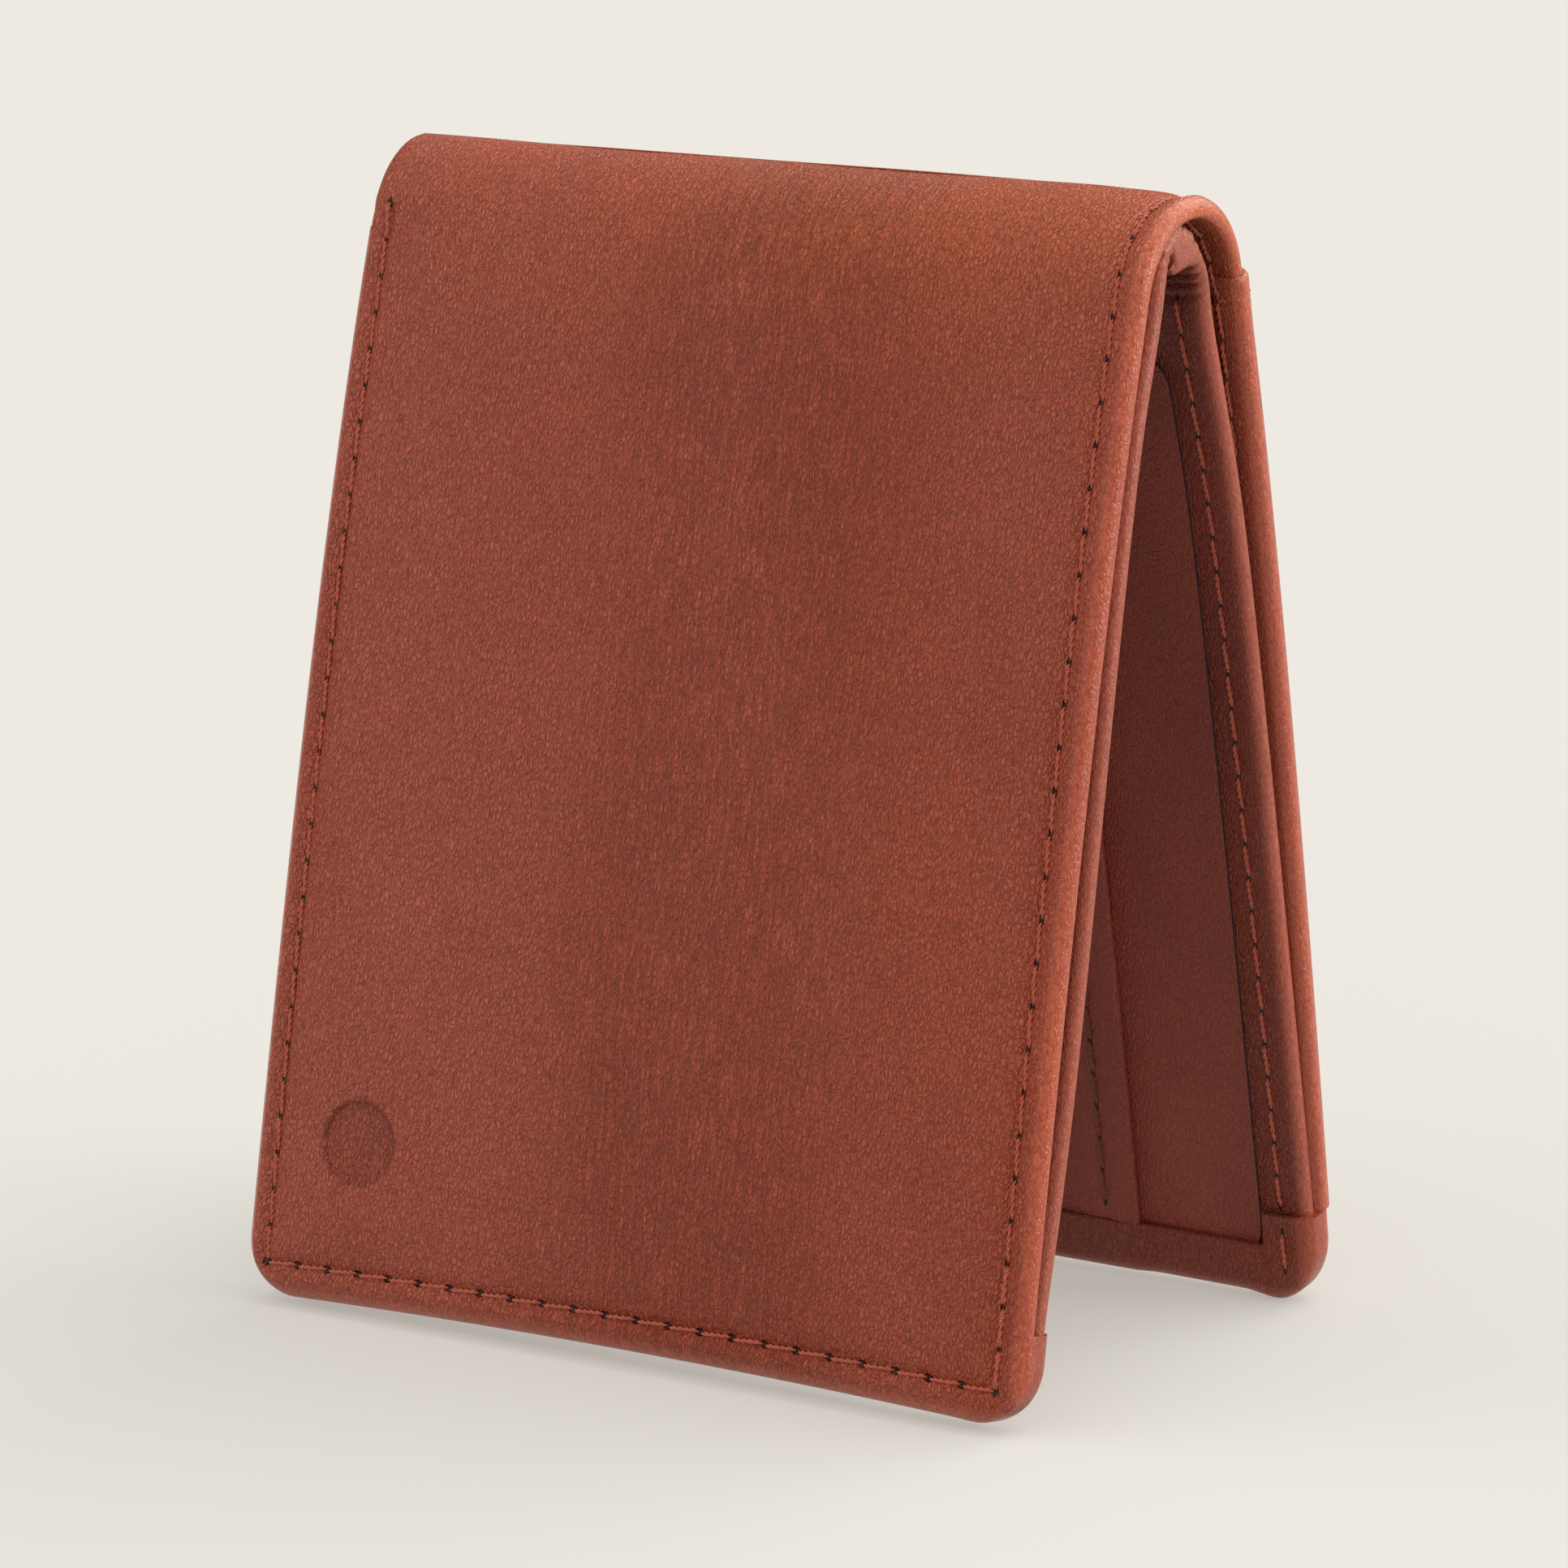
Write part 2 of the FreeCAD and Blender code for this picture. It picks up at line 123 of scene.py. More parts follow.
# ---- where the leather runs ----------------------------------------------------------------------
def cover_profile(tightness):
    """Tables for a half's outer face: u, distance from the foot towards the fold, height, lean."""
    u = np.linspace(0, CREST, 1500)
    share = np.clip(u / PANEL, 0, 1)
    lean = np.radians(9.3 + 2.2 * share + 3.5 * share**3)
    into_fold = np.clip((u - PANEL) / (CREST - PANEL), 0, 1) ** tightness
    lean = lean + (math.pi / 2 - lean) * into_fold
    step = u[1] - u[0]
    across = np.concatenate([[0], np.cumsum(np.sin(lean[:-1]) * step)])
    up = np.concatenate([[0], np.cumsum(np.cos(lean[:-1]) * step)])
    across = across * FOOT_REACH / across[-1]
    up = up * (FOLD_TOP - FOOT_LIFT) / up[-1]
    return np.stack([u, across, up, lean])


# the fold is squarer at the closed edge than at the mouth
CLOSED_PROFILE = cover_profile(1.9)
MOUTH_PROFILE = cover_profile(1.0)


def foot_rise(side, x, u):
    """How far the middle of the foot is bowed up off the floor."""
    most = 0.9 if side == FRONT else 0.5
    return most * (1 - (x / HALF_WIDTH) ** 2) * np.clip(1 - u / 45, 0, 1) ** 2


def tapered(side, x, u):
    """The back half's mouth edge is turned in a little further than the front's, away from the fold."""
    if side == FRONT:
        return x
    return x - BACK_TURN_IN * np.clip((x - 40) / 5, 0, 1) * smooth_step((CREST - u) / 20)


def at_cover(side, x, u, d):
    """Points in the row frame for places in a half's cover."""
    x, u, d = np.broadcast_arrays(*[np.asarray(part, float) for part in (x, u, d)])
    u = u + foot_rise(side, x, u)
    towards_mouth = smooth_step((x + HALF_WIDTH) / (1.6 * HALF_WIDTH))
    closed = [np.interp(u, CLOSED_PROFILE[0], part) for part in CLOSED_PROFILE[1:]]
    mouth = [np.interp(u, MOUTH_PROFILE[0], part) for part in MOUTH_PROFILE[1:]]
    across, up, angle = [c + (m - c) * towards_mouth for c, m in zip(closed, mouth)]
    below = np.minimum(u, 0)
    outwards = FOOT_REACH - across - below * np.sin(angle)
    if side == BACK:
        outwards = outwards * (1 - SLIP / FOOT_REACH)
    outwards = outwards - np.cos(angle) * d
    z = FOOT_LIFT + up + below * np.cos(angle) - np.sin(angle) * d
    return np.stack([tapered(side, x, u), FOLD_MIDDLE + side * outwards, z], -1)


def softened(points, times=4):
    """Cuts the corners of a polyline until it is a smooth curve, keeping its ends."""
    points = np.array(points, float)
    for _ in range(times):
        near = 0.75 * points[:-1] + 0.25 * points[1:]
        far = 0.25 * points[:-1] + 0.75 * points[1:]
        points = np.vstack([points[:1], np.stack([near, far], 1).reshape(-1, 2), points[-1:]])
    return points


def inner_path(side, depths, fold):
    """Tables of y, z and the inward direction along the inner panel, from the foot to its fold."""
    lower = [at_cover(side, HALF_WIDTH, u, d)[1:] for u, d in depths]
    points = softened(np.vstack([lower, fold]))
    steps = np.linalg.norm(np.diff(points, axis=0), axis=1)
    length = np.concatenate([[0], np.cumsum(steps)])
    v = np.linspace(0, length[-1], 900)
    y = np.interp(v, length, points[:, 0])
    z = np.interp(v, length, points[:, 1])
    slope = np.stack([np.gradient(y), np.gradient(z)])
    slope = slope / np.linalg.norm(slope, axis=0)
    return np.stack([v * INNER_CREST / length[-1], y, z, -side * slope[1], side * slope[0]])


# the fold of the inner panel, at the mouth and at the closed edge: (y, z) up to its top
MOUTH_FOLD = {
    FRONT: [(-7.6, 101.5), (-6.9, 105.4), (-6.1, 108.2), (-3.6, 108.9)],
    BACK: [(6.1, 93.1), (3.3, 101.2), (2.4, 105.0), (-0.4, 107.9), (-3.6, 108.9)],
}
CLOSED_FOLD = {
    side: [(FOLD_MIDDLE + side * y, z) for y, z in ((7.2, 102.5), (5.6, 107.4), (1.8, 109.6), (0, 109.8))]
    for side in (FRONT, BACK)
}
# how deep the inner panel runs inside the cover's outer face: (u, d) up from the foot
MOUTH_DEPTHS = {
    FRONT: [(0, 2.3), (9, 2.6), (22, 3.8), (36, 4.3), (58, 4.0), (75, 3.5), (92, 3.0)],
    BACK: [(0, 2.2), (9, 2.35), (30, 3.2), (50, 3.8), (70, 4.3), (84, 4.7)],
}
CLOSED_DEPTHS = [(0, 2.0), (30, 2.0), (60, 2.0), (92, 2.0)]
MOUTH_PATH = {side: inner_path(side, MOUTH_DEPTHS[side], MOUTH_FOLD[side]) for side in (FRONT, BACK)}
CLOSED_PATH = {side: inner_path(side, CLOSED_DEPTHS, CLOSED_FOLD[side]) for side in (FRONT, BACK)}


def at_inner(side, x, v, e):
    """Points in the row frame for places in what lies inside a half."""
    x, v, e = np.broadcast_arrays(*[np.asarray(part, float) for part in (x, v, e)])
    v = v + foot_rise(side, x, v)
    share = np.clip((x + HALF_WIDTH) / (2 * HALF_WIDTH), 0, 1) ** 1.6
    closed = [np.interp(v, CLOSED_PATH[side][0], part) for part in CLOSED_PATH[side][1:]]
    mouth = [np.interp(v, MOUTH_PATH[side][0], part) for part in MOUTH_PATH[side][1:]]
    y, z, inward_y, inward_z = [c + (m - c) * share for c, m in zip(closed, mouth)]
    return np.stack([tapered(side, x, v), y + e * inward_y, z + e * inward_z], -1)


# ---- relief of the cover's outer face ------------------------------------------------------------
def cover_relief(side, x, u):
    """How far the outer face stands out: a seam pressed in, a panel that swells, faint waves."""
    to_closed = np.where(u < CLOSED_TOP, SEAM_X + x, 9.0)
    inside = np.minimum(np.minimum(SEAM_X - x, to_closed), u - SEAM)
    pressed = -0.34 * np.exp(-((inside / 0.6) ** 2))
    swelling = 0.45 * (1 - np.exp(-np.maximum(inside, 0) / 2.4))
    band = 0.22 * np.exp(-(((inside + 1.5) / 0.9) ** 2))
    by_foot = u - SEAM < SEAM_X - np.abs(x)
    along_seam = np.where(by_foot, (x + SEAM_X) / FOOT_PITCH, (u - SEAM) / MOUTH_PITCH)
    dimples = -0.05 * np.exp(-((inside / 1.3) ** 2)) * np.cos(2 * math.pi * along_seam)
    waves = 0.10 * np.sin(x / 13 + 1.1 * side) * np.sin(u / 19 + 0.6)
    waves = waves + 0.06 * np.sin(x / 5.7 + u / 23) * np.sin(u / 31 + 1.9 + side)
    stamp = 0
    if side == FRONT:
        from_stamp = np.hypot(x - STAMP[0], u - STAMP[1])
        stamp = -0.34 * smooth_step((STAMP_RADIUS - from_stamp) / 0.5 + 0.5)
    return pressed + swelling + band + dimples + stamp + waves * smooth_step(inside / 8)


# ---- meshes --------------------------------------------------------------------------------------
def rounded(corners, steps=5):
    """Points along a polyline of (a, b, radius), with an arc at each inner corner."""
    corners = [np.array(corner, float) for corner in corners]
    points = [corners[0][:2]]
    for before, corner, after in zip(corners, corners[1:], corners[2:]):
        here = corner[:2]
        back = (before[:2] - here) / np.linalg.norm(before[:2] - here)
        on = (after[:2] - here) / np.linalg.norm(after[:2] - here)
        half = math.acos(np.clip(back @ on, -1, 1)) / 2
        centre = here + (back + on) / np.linalg.norm(back + on) * corner[2] / math.sin(half)
        start = here + back * corner[2] / math.tan(half) - centre
        end = here + on * corner[2] / math.tan(half) - centre
        turn = math.pi - 2 * half
        for t in np.linspace(0, 1, steps + 1):
            swung = start * math.sin((1 - t) * turn) + end * math.sin(t * turn)
            points.append(centre + swung / math.sin(turn))
    points.append(corners[-1][:2])
    return np.array(points)


def grid_faces(rows, columns, first=0, flip=False):
    faces = []
    for row in range(rows - 1):
        for column in range(columns - 1):
            corner = first + row * columns + column
            face = (corner, corner + 1, corner + columns + 1, corner + columns)
            faces.append(face[::-1] if flip else face)
    return faces


class Skin:
    """Grids of points and their places, welded into one closed mesh."""

    def __init__(self):
        self.points = []
        self.places = []
        self.faces = []
        self.count = 0

    def add(self, points, places, flip=False):
        rows, columns = points.shape[:2]
        self.faces += grid_faces(rows, columns, self.count, flip)
        self.points.append(points.reshape(-1, 3))
        self.places.append(np.asarray(places, float).reshape(-1, 3))
        self.count += rows * columns

    def add_rim(self, first, second, first_places, second_places, flip=False):
        """Joins two lines that have as many points."""
        self.add(np.stack([first, second]), np.stack([first_places, second_places]), flip)

    def add_slab(self, top, bottom, top_places, bottom_places):
        """Two matching grids and the rims that close them into a thin solid."""
        self.add(top, top_places, True)
        self.add(bottom, bottom_places)
        for edge in (np.s_[0], np.s_[-1], np.s_[:, 0], np.s_[:, -1]):
            self.add_rim(top[edge], bottom[edge], top_places[edge], bottom_places[edge])

    def finish(self, name, material, sharp=40):
        mesh = bpy.data.meshes.new(name)
        mesh.from_pydata((np.vstack(self.points) * MM).tolist(), [], self.faces)
        place = mesh.attributes.new("place", "FLOAT_VECTOR", "POINT")
        place.data.foreach_set("vector", np.vstack(self.places).ravel())
        work = bmesh.new()
        work.from_mesh(mesh)
        bmesh.ops.remove_doubles(work, verts=work.verts, dist=0.002 * MM)
        bmesh.ops.dissolve_degenerate(work, edges=work.edges, dist=0.001 * MM)
        gaps = [edge for edge in work.edges if edge.is_boundary]
        if gaps:
            caps = bmesh.ops.holes_fill(work, edges=gaps, sides=0)["faces"]
            bmesh.ops.triangulate(work, faces=caps)
        bmesh.ops.recalc_face_normals(work, faces=work.faces)
        for face in work.faces:
            face.smooth = True
        work.to_mesh(mesh)
        work.free()
        mesh.set_sharp_from_angle(angle=math.radians(sharp))
        mesh.materials.append(material)
        piece = bpy.data.objects.new(name, mesh)
        bpy.context.scene.collection.objects.link(piece)
        return piece


def spaced(stops, step):
    """Values through all the stops, no further apart than step."""
    values = [stops[0]]
    for before, after in zip(stops, stops[1:]):
        count = max(1, math.ceil(abs(after - before) / step - 1e-6))
        values += list(np.linspace(before, after, count + 1)[1:])
    return np.array(values)


def texture_place(side, x, u, d):
    """Place for the grain. It runs on over the fold from the front half to the back."""
    along = u if side == FRONT else 2 * CREST - u
    return np.stack(np.broadcast_arrays(x, along, d), -1)


# ---- the cover and the slip pocket ---------------------------------------------------------------
INSIDE_X = HALF_WIDTH - CORNER


def perimeter(part, rows, columns):
    """Edge points and inward directions in the plan: up or down a side, or round the foot."""
    if part == "foot":
        turn = np.linspace(0, math.pi / 2, 13)
        left = np.stack([-INSIDE_X - CORNER * np.cos(turn), CORNER - CORNER * np.sin(turn)], -1)
        left_in = np.stack([np.cos(turn), np.sin(turn)], -1)
        foot = np.stack([columns, 0 * columns], -1)[1:-1]
        foot_in = np.stack([0 * columns, 0 * columns + 1], -1)[1:-1]
        right = left[::-1] * (-1, 1)
        right_in = left_in[::-1] * (-1, 1)
        return np.vstack([left, foot, right]), np.vstack([left_in, foot_in, right_in])
    way = -1 if part == "closed" else 1
    edge = np.stack([way * HALF_WIDTH + 0 * rows, rows], -1)
    return edge, np.stack([-way + 0 * rows, 0 * rows], -1)


FACE_STEPS = [6.0, 5.3, 4.7, 4.3, 4.0, 3.75, 3.55, 3.4, 3.25, 3.05, 2.8, 2.55, 2.3]


def wrapped_section(side, x):
    """Face, rolled edge, wall and turned-in flap of a wrapped edge: (w, d) from the face inwards.
    The wrap stands a little proud where it closes the end of the bill mouth."""
    proud = (0.1 if side == FRONT else 0.6) * smooth_step((x - 37) / 4)
    wrap_depth = flap_depth(x)
    roll = rounded(
        [
            (2.3, 0, 0),
            (-proud, 0, 1.7),
            (-proud, wrap_depth, 1.5),
            (FLAP, wrap_depth, 0.25),
            (FLAP, wrap_depth - 0.7, 0.05),
            (COVER, wrap_depth - 0.7, 0.1),
            (COVER, COVER, 0.1),
            (CORNER, COVER, 0),
        ]
    )
    return np.vstack([[(w, 0) for w in FACE_STEPS[:-1]], roll])


def hem_section(inset):
    """Face, rolled edge and hem of a plain turned edge."""
    roll = rounded([(2.3, 0, 0), (inset, 0, 1.15), (inset, HEM, 0.8), (5.85, HEM, 0.1), (CORNER, COVER, 0)])
    return np.vstack([[(w, 0) for w in FACE_STEPS[:-1]], roll])


def flap_depth(x):
    """Depth of the flap's face: it lies over every pocket that reaches x."""
    pockets = sum(smooth_step((edge + 1.5 - x) / 3) for edge in POCKET_EDGES)
    return 2.2 + 0.45 * smooth_step((x - 36) / 6) + INNER_PANEL + 0.7 + POCKET * pockets


def add_edge(skin, side, part, rows, columns, section_at):
    """Sweeps a section along a part of the perimeter."""
    edge, inward = perimeter(part, rows, columns)
    sections = np.array([section_at(x) for x in edge[:, 0]])
    w, d = sections[..., 0], sections[..., 1]
    x = edge[:, :1] + inward[:, :1] * w
    u = edge[:, 1:] + inward[:, 1:] * w
    index = np.arange(w.shape[1])
    on_face = smooth_step((len(FACE_STEPS) + 5 - index) / 5)
    points = at_cover(side, x, u, d - on_face * cover_relief(side, x, u))
    skin.add(points, texture_place(side, x, u, d), flip=True)


def cover_columns():
    around = [STAMP[0] - STAMP_RADIUS - 0.6, STAMP[0] + STAMP_RADIUS + 0.6]
    coarse = spaced([-INSIDE_X, around[0]], 1.0), spaced([around[1], INSIDE_X], 1.0)
    return np.concatenate([coarse[0][:-1], spaced(around, 0.25), coarse[1][1:]])


def cover_rows():
    around = [STAMP[1] - STAMP_RADIUS - 0.6, STAMP[1] + STAMP_RADIUS + 0.6]
    coarse = spaced([CORNER, WRAP, around[0]], 0.9), spaced([around[1], HEM_TOP, CREST - 0.04, CREST], 0.9)
    return np.concatenate([coarse[0][:-1], spaced(around, 0.25), coarse[1][1:]])


def make_cover(side, material):
    skin = Skin()
    rows = cover_rows()
    columns = cover_columns()
    x, u = np.meshgrid(columns, rows)
    face = at_cover(side, x, u, -cover_relief(side, x, u))
    skin.add(face, texture_place(side, x, u, 0.0))
    back = at_cover(side, x, u, COVER)
    skin.add(back, texture_place(side, x, u, COVER), flip=True)
    wrapped = rows[rows <= WRAP + 1e-6]
    open_mouth = rows[rows >= WRAP - 1e-6]
    closed = rows[rows <= HEM_TOP + 1e-6]
    above = rows[rows >= HEM_TOP - 1e-6]
    add_edge(skin, side, "closed", closed, columns, lambda x: wrapped_section(side, x))
    add_edge(skin, side, "foot", rows, columns, lambda x: wrapped_section(side, x))
    add_edge(skin, side, "mouth", wrapped, columns, lambda x: wrapped_section(side, x))
    add_edge(skin, side, "closed", above, columns, lambda x: hem_section(0.4))
    add_edge(skin, side, "mouth", open_mouth, columns, lambda x: hem_section(0.0))
    return skin.finish(f"{NAMES[side]}_cover_leather", material)


# ---- what lies inside ----------------------------------------------------------------------------
def corner_fit(x, v):
    """Draws x in near the foot, so that a layer's corner fits in the rounded corner of the wrap."""
    reach = CORNER - 1.5
    room = INSIDE_X + np.sqrt(np.clip(reach**2 - np.clip(CORNER - v, 0, None) ** 2, 0, None))
    return x * np.minimum(1, room / (INSIDE_X + reach))


def make_layer(name, side, rows, top, bottom, material, at, bunch=None):
    """A layer between two lines of (x, depth) with as many points, swept up the rows."""
    grids = []
    for line in (np.array(top), np.array(bottom)):
        v, x = np.meshgrid(rows, line[:, 0], indexing="ij")
        depth = np.broadcast_to(line[:, 1], x.shape)
        if bunch:
            depth = depth + bunch(x, v, depth)
        grids.append((at(side, corner_fit(x, v), v, depth), texture_place(side, x, v, depth)))
    skin = Skin()
    skin.add_slab(grids[0][0], grids[1][0], grids[0][1], grids[1][1])
    return skin.finish(name, material)


def plain_line(left, right, depth, step=3.0):
    return [(x, depth) for x in spaced([left, right], step)]


def hem_lines(left, right, low, high, hem_low, hem_width=6.0):
    """Lines of a layer whose right edge is a rounded hem, thicker towards the low side."""
    middle = (hem_low + high) / 2
    nose = (high - hem_low) / 2
    turn = np.linspace(0, math.pi / 2, 6)
    over = [(right - nose + nose * math.sin(t), middle + nose * math.cos(t)) for t in turn]
    under = [(x, 2 * middle - depth) for x, depth in over]
    inside = list(spaced([left, right - hem_width], 3.0))
    step = [right - hem_width + 0.5, right - nose - 1.5]
    top = [(x, high) for x in inside + step] + over
    bottom = [(x, low) for x in inside] + [(x, hem_low) for x in step] + under
    return top, bottom


def inner_bunch(side):
    """How the inner panel thickens and creases where its mouth hem is squeezed into the fold."""

    def depth(x, v, e):
        down = INNER_CREST - v
        at_mouth = smooth_step((x - 33) / 5)
        inward = np.clip(e / INNER_PANEL, -0.3, 1)
        reach = 1.4 if side == FRONT else 4.0
        pinch = 2.0 * at_mouth * inward * np.exp(-((down / reach) ** 4))
        ripples = np.sin(down * 5.1 + x / 3) + 0.8 * np.sin(down * 2.9 - x / 5)
        ripples = 0.10 * ripples * np.exp(-(((down - 2) / 3.5) ** 2)) * smooth_step((x + 10) / 40)
        creases = 0
        if side == BACK:
            for place in (5.6, 7.0, 8.2, 9.6):
                creases = creases - 0.30 * np.exp(-(((down - place + 0.1 * (x - 42)) / 0.28) ** 2))
        return pinch + ripples + creases * at_mouth * np.clip(inward, 0, 1)

    return depth


def make_inner_panel(side, material):
    rows = spaced([1.4, 6, 100, INNER_CREST - 0.04, INNER_CREST], 1.2)
    rows = np.unique(np.concatenate([rows, spaced([100, INNER_CREST - 0.04], 0.22)]))
    top, bottom = hem_lines(-43.7, INNER_EDGE, LINING, INNER_PANEL + 0.05, -0.55)
    name = f"{NAMES[side]}_inner_panel_leather"
    return make_layer(name, side, rows, top, bottom, material, at_inner, inner_bunch(side))


def make_inner_lining(side, material):
    rows = spaced([1.5, 6, INNER_CREST - 0.04, INNER_CREST], 1.2)
    name = f"{NAMES[side]}_inner_lining_cloth"
    line = INNER_EDGE - 6.05
    top = plain_line(LINING_END, line, LINING)
    bottom = plain_line(LINING_END, line, 0.0)
    return make_layer(name, side, rows, top, bottom, material, at_inner)


def make_cover_lining(side, material):
    rows = spaced([1.5, 6, CREST - 0.04, CREST], 1.2)
    name = f"{NAMES[side]}_cover_lining_cloth"
    right = INSIDE_X - 0.02
    top = plain_line(LINING_END, right, COVER + LINING)
    bottom = plain_line(LINING_END, right, COVER + GAP)
    return make_layer(name, side, rows, top, bottom, material, at_cover)


def make_pocket_base(side, material, paint):
    radius = 3.0
    bottom = 4.2
    closed_end = -43.4
    low = bottom + radius * (1 - np.cos(np.linspace(0, math.pi / 2, 8)))
    high = POCKET_TOP - radius * (1 - np.cos(np.linspace(0, math.pi / 2, 8)))
    rows = np.unique(np.concatenate([low, spaced([bottom + radius, POCKET_TOP - radius], 2.0), high]))
    past = np.maximum(np.maximum(bottom + radius - rows, rows - (POCKET_TOP - radius)), 0)
    right = POCKET_EDGES[0] - radius + np.sqrt(np.maximum(radius**2 - past**2, 0))
    share = np.linspace(0, 1, 30)
    x = closed_end + (right[:, None] - closed_end) * share
    v = np.broadcast_to(rows[:, None], x.shape)
    grids = []
    for depth in (INNER_PANEL + POCKET, INNER_PANEL):
        grids.append((at_inner(side, corner_fit(x, v), v, depth), texture_place(side, x, v, depth)))
    skin = Skin()
    skin.add_slab(grids[0][0], grids[1][0], grids[0][1], grids[1][1])
    piece = skin.finish(f"{NAMES[side]}_pocket_base_leather", material)
    piece.data.materials.append(paint)
    for face in piece.data.polygons:
        if face.center.x > 33 * MM and abs(face.normal.y) < 0.75 and face.center.z > 0.004:
            face.material_index = 1
    return piece


def pocket_lines(order):
    """Lines of a card pocket: a sheet that thickens to a folded lip."""
    lip = POCKET_EDGES[order]
    low = INNER_PANEL + POCKET * order + GAP
    turn = np.linspace(0, math.pi / 2, 6)
    nose = 0.45
    over = [(lip - nose + nose * math.sin(t), low + nose + nose * math.cos(t)) for t in turn]
    under = [(x, 2 * (low + nose) - depth) for x, depth in over]
    inside = list(spaced([-43.3, lip - 9], 2.5))
    # the sheet doubles towards its lip and dips at the seam
    rise = [(7.5, 0.5), (6, 0.68), (4.5, 0.78), (LIP_INSET, LIP_AT_SEAM), (2.9, 0.84), (1.6, 0.93)]
    top = [(x, low + POCKET) for x in inside]
    top += [(lip - inset, low + height) for inset, height in rise] + over
    bottom = [(x, low) for x in inside] + [(lip - inset, low) for inset, height in rise] + under
    return top, bottom


def make_card_pocket(side, order, material):
    rows = spaced([4.4, 6, POCKET_TOP - 0.4], 2.0)
    top, bottom = pocket_lines(order)
    name = f"{NAMES[side]}_card_pocket_{order}_leather"
    return make_layer(name, side, rows, top, bottom, material, at_inner)


# ---- slip pocket on the back ---------------------------------------------------------------------
def slip_section(lift):
    """Line that lies at a lift above the cover's face and goes round its rolled edge."""
    out = 0.5 * lift
    roll = rounded([(2.3, -lift, 0), (-out, -lift, 1.5 + out), (-out, HEM + out, 1.25), (5.8, HEM + out, 0)])
    return np.vstack([[(w, -lift) for w in FACE_STEPS[:-1]], roll])


def skived_section(lift):
    """Line that thins out on the cover's face, short of its rolled edge."""
    steps = FACE_STEPS + [1.9, 1.5, 1.25, 1.05]
    return np.array([(w, -lift * math.sqrt(smooth_step((w - 1.05) / 1.6))) for w in steps])


def slip_grid(part, rows, columns, lifts, section):
    """Points and places of one face of the slip pocket; lifts has a value for each row."""
    if part == "middle":
        x, u = np.meshgrid(columns, rows)
        d = -lifts[:, None] + 0 * x
        on_face = 1
    else:
        edge, inward = perimeter(part, rows, columns)
        at_edge = lifts if part != "foot" else np.full(len(edge), lifts[0])
        sections = np.array([section(lift) for lift in at_edge])
        w, d = sections[..., 0], sections[..., 1]
        x = edge[:, :1] + inward[:, :1] * w
        u = edge[:, 1:] + inward[:, 1:] * w
        on_face = smooth_step((len(FACE_STEPS) + 5 - np.arange(w.shape[1])) / 5)
    points = at_cover(BACK, x, u, d - on_face * cover_relief(BACK, x, u))
    return points, texture_place(BACK, x, u, d)


def make_slip_pocket(material):
    rows = spaced([CORNER, WRAP, 100, PANEL - 1.0], 1.0)
    rows = np.concatenate([rows, PANEL - np.array([0.6, 0.3, 0.1, 0.0])])
    outer_lift = SLIP * np.sqrt(1 - np.clip((rows - PANEL + 0.6) / 0.7, 0, 1) ** 2)
    inner_lift = np.full(len(rows), 0.02)
    columns = cover_columns()
    skin = Skin()
    low = rows <= WRAP + 1e-6
    high = rows >= WRAP - 1e-6
    everywhere = rows > 0
    parts = [
        ("middle", everywhere, None),
        ("closed", everywhere, skived_section),
        ("foot", everywhere, skived_section),
        ("mouth", low, skived_section),
        ("mouth", high, slip_section),
    ]
    for part, chosen, section in parts:
        outer, outer_places = slip_grid(part, rows[chosen], columns, outer_lift[chosen], section)
        inner, inner_places = slip_grid(part, rows[chosen], columns, inner_lift[chosen], section)
        skin.add(outer, outer_places, True)
        skin.add(inner, inner_places)
        if part != "foot" and chosen[-1]:
            skin.add_rim(outer[-1], inner[-1], outer_places[-1], inner_places[-1])
        if part != "middle":
            skin.add_rim(outer[:, -1], inner[:, -1], outer_places[:, -1], inner_places[:, -1])
    return skin.finish("back_slip_pocket_leather", material)


# ---- stitches ------------------------------------------------------------------------------------
def stitch_lines(start, end, outward, slant, proud=STITCH_RISE, twist=2.6, ply=0.12, sunk=0.34):
    """Centre lines of the two plies of one stitch, which dives into the leather at both ends."""
    start, end, outward = np.array(start), np.array(end), np.array(outward)
    t = np.linspace(0, 1, 11)
    along = (end - start) / np.linalg.norm(end - start)
    across = np.cross(outward, along)
    rise = proud - (proud + sunk) * np.abs(2 * t - 1) ** 7
    line = start + (end - start) * t[:, None] + outward * rise[:, None]
    line = line + across * (slant * (2 * t - 1))[:, None]
    turn = 2 * math.pi * twist * t
    wind = ply * (across * np.cos(turn)[:, None] + outward * np.sin(turn)[:, None])
    return line + wind, line - wind


def ring_points(line, outward, radius=0.11, sides=6):
    """Rings of points round a line."""
    along = np.gradient(line, axis=0)
    along = along / np.linalg.norm(along, axis=1)[:, None]
    across = np.cross(along, outward)
    across = across / np.linalg.norm(across, axis=1)[:, None]
    other = np.cross(along, across)
    turns = (np.arange(sides) * 2 * math.pi / sides)[None, :, None]
    round_line = np.cos(turns) * across[:, None] + np.sin(turns) * other[:, None]
    return line[:, None] + radius * round_line


def ring_faces(rings, sides, first):
    """Faces of a closed tube whose points start at index first."""
    faces = []
    for ring in range(rings - 1):
        for step in range(sides):
            near = first + ring * sides + step
            beside = first + ring * sides + (step + 1) % sides
            faces.append((near, beside, beside + sides, near + sides))
    faces.append(tuple(first + step for step in range(sides))[::-1])
    faces.append(tuple(first + (rings - 1) * sides + step for step in range(sides)))
    return faces


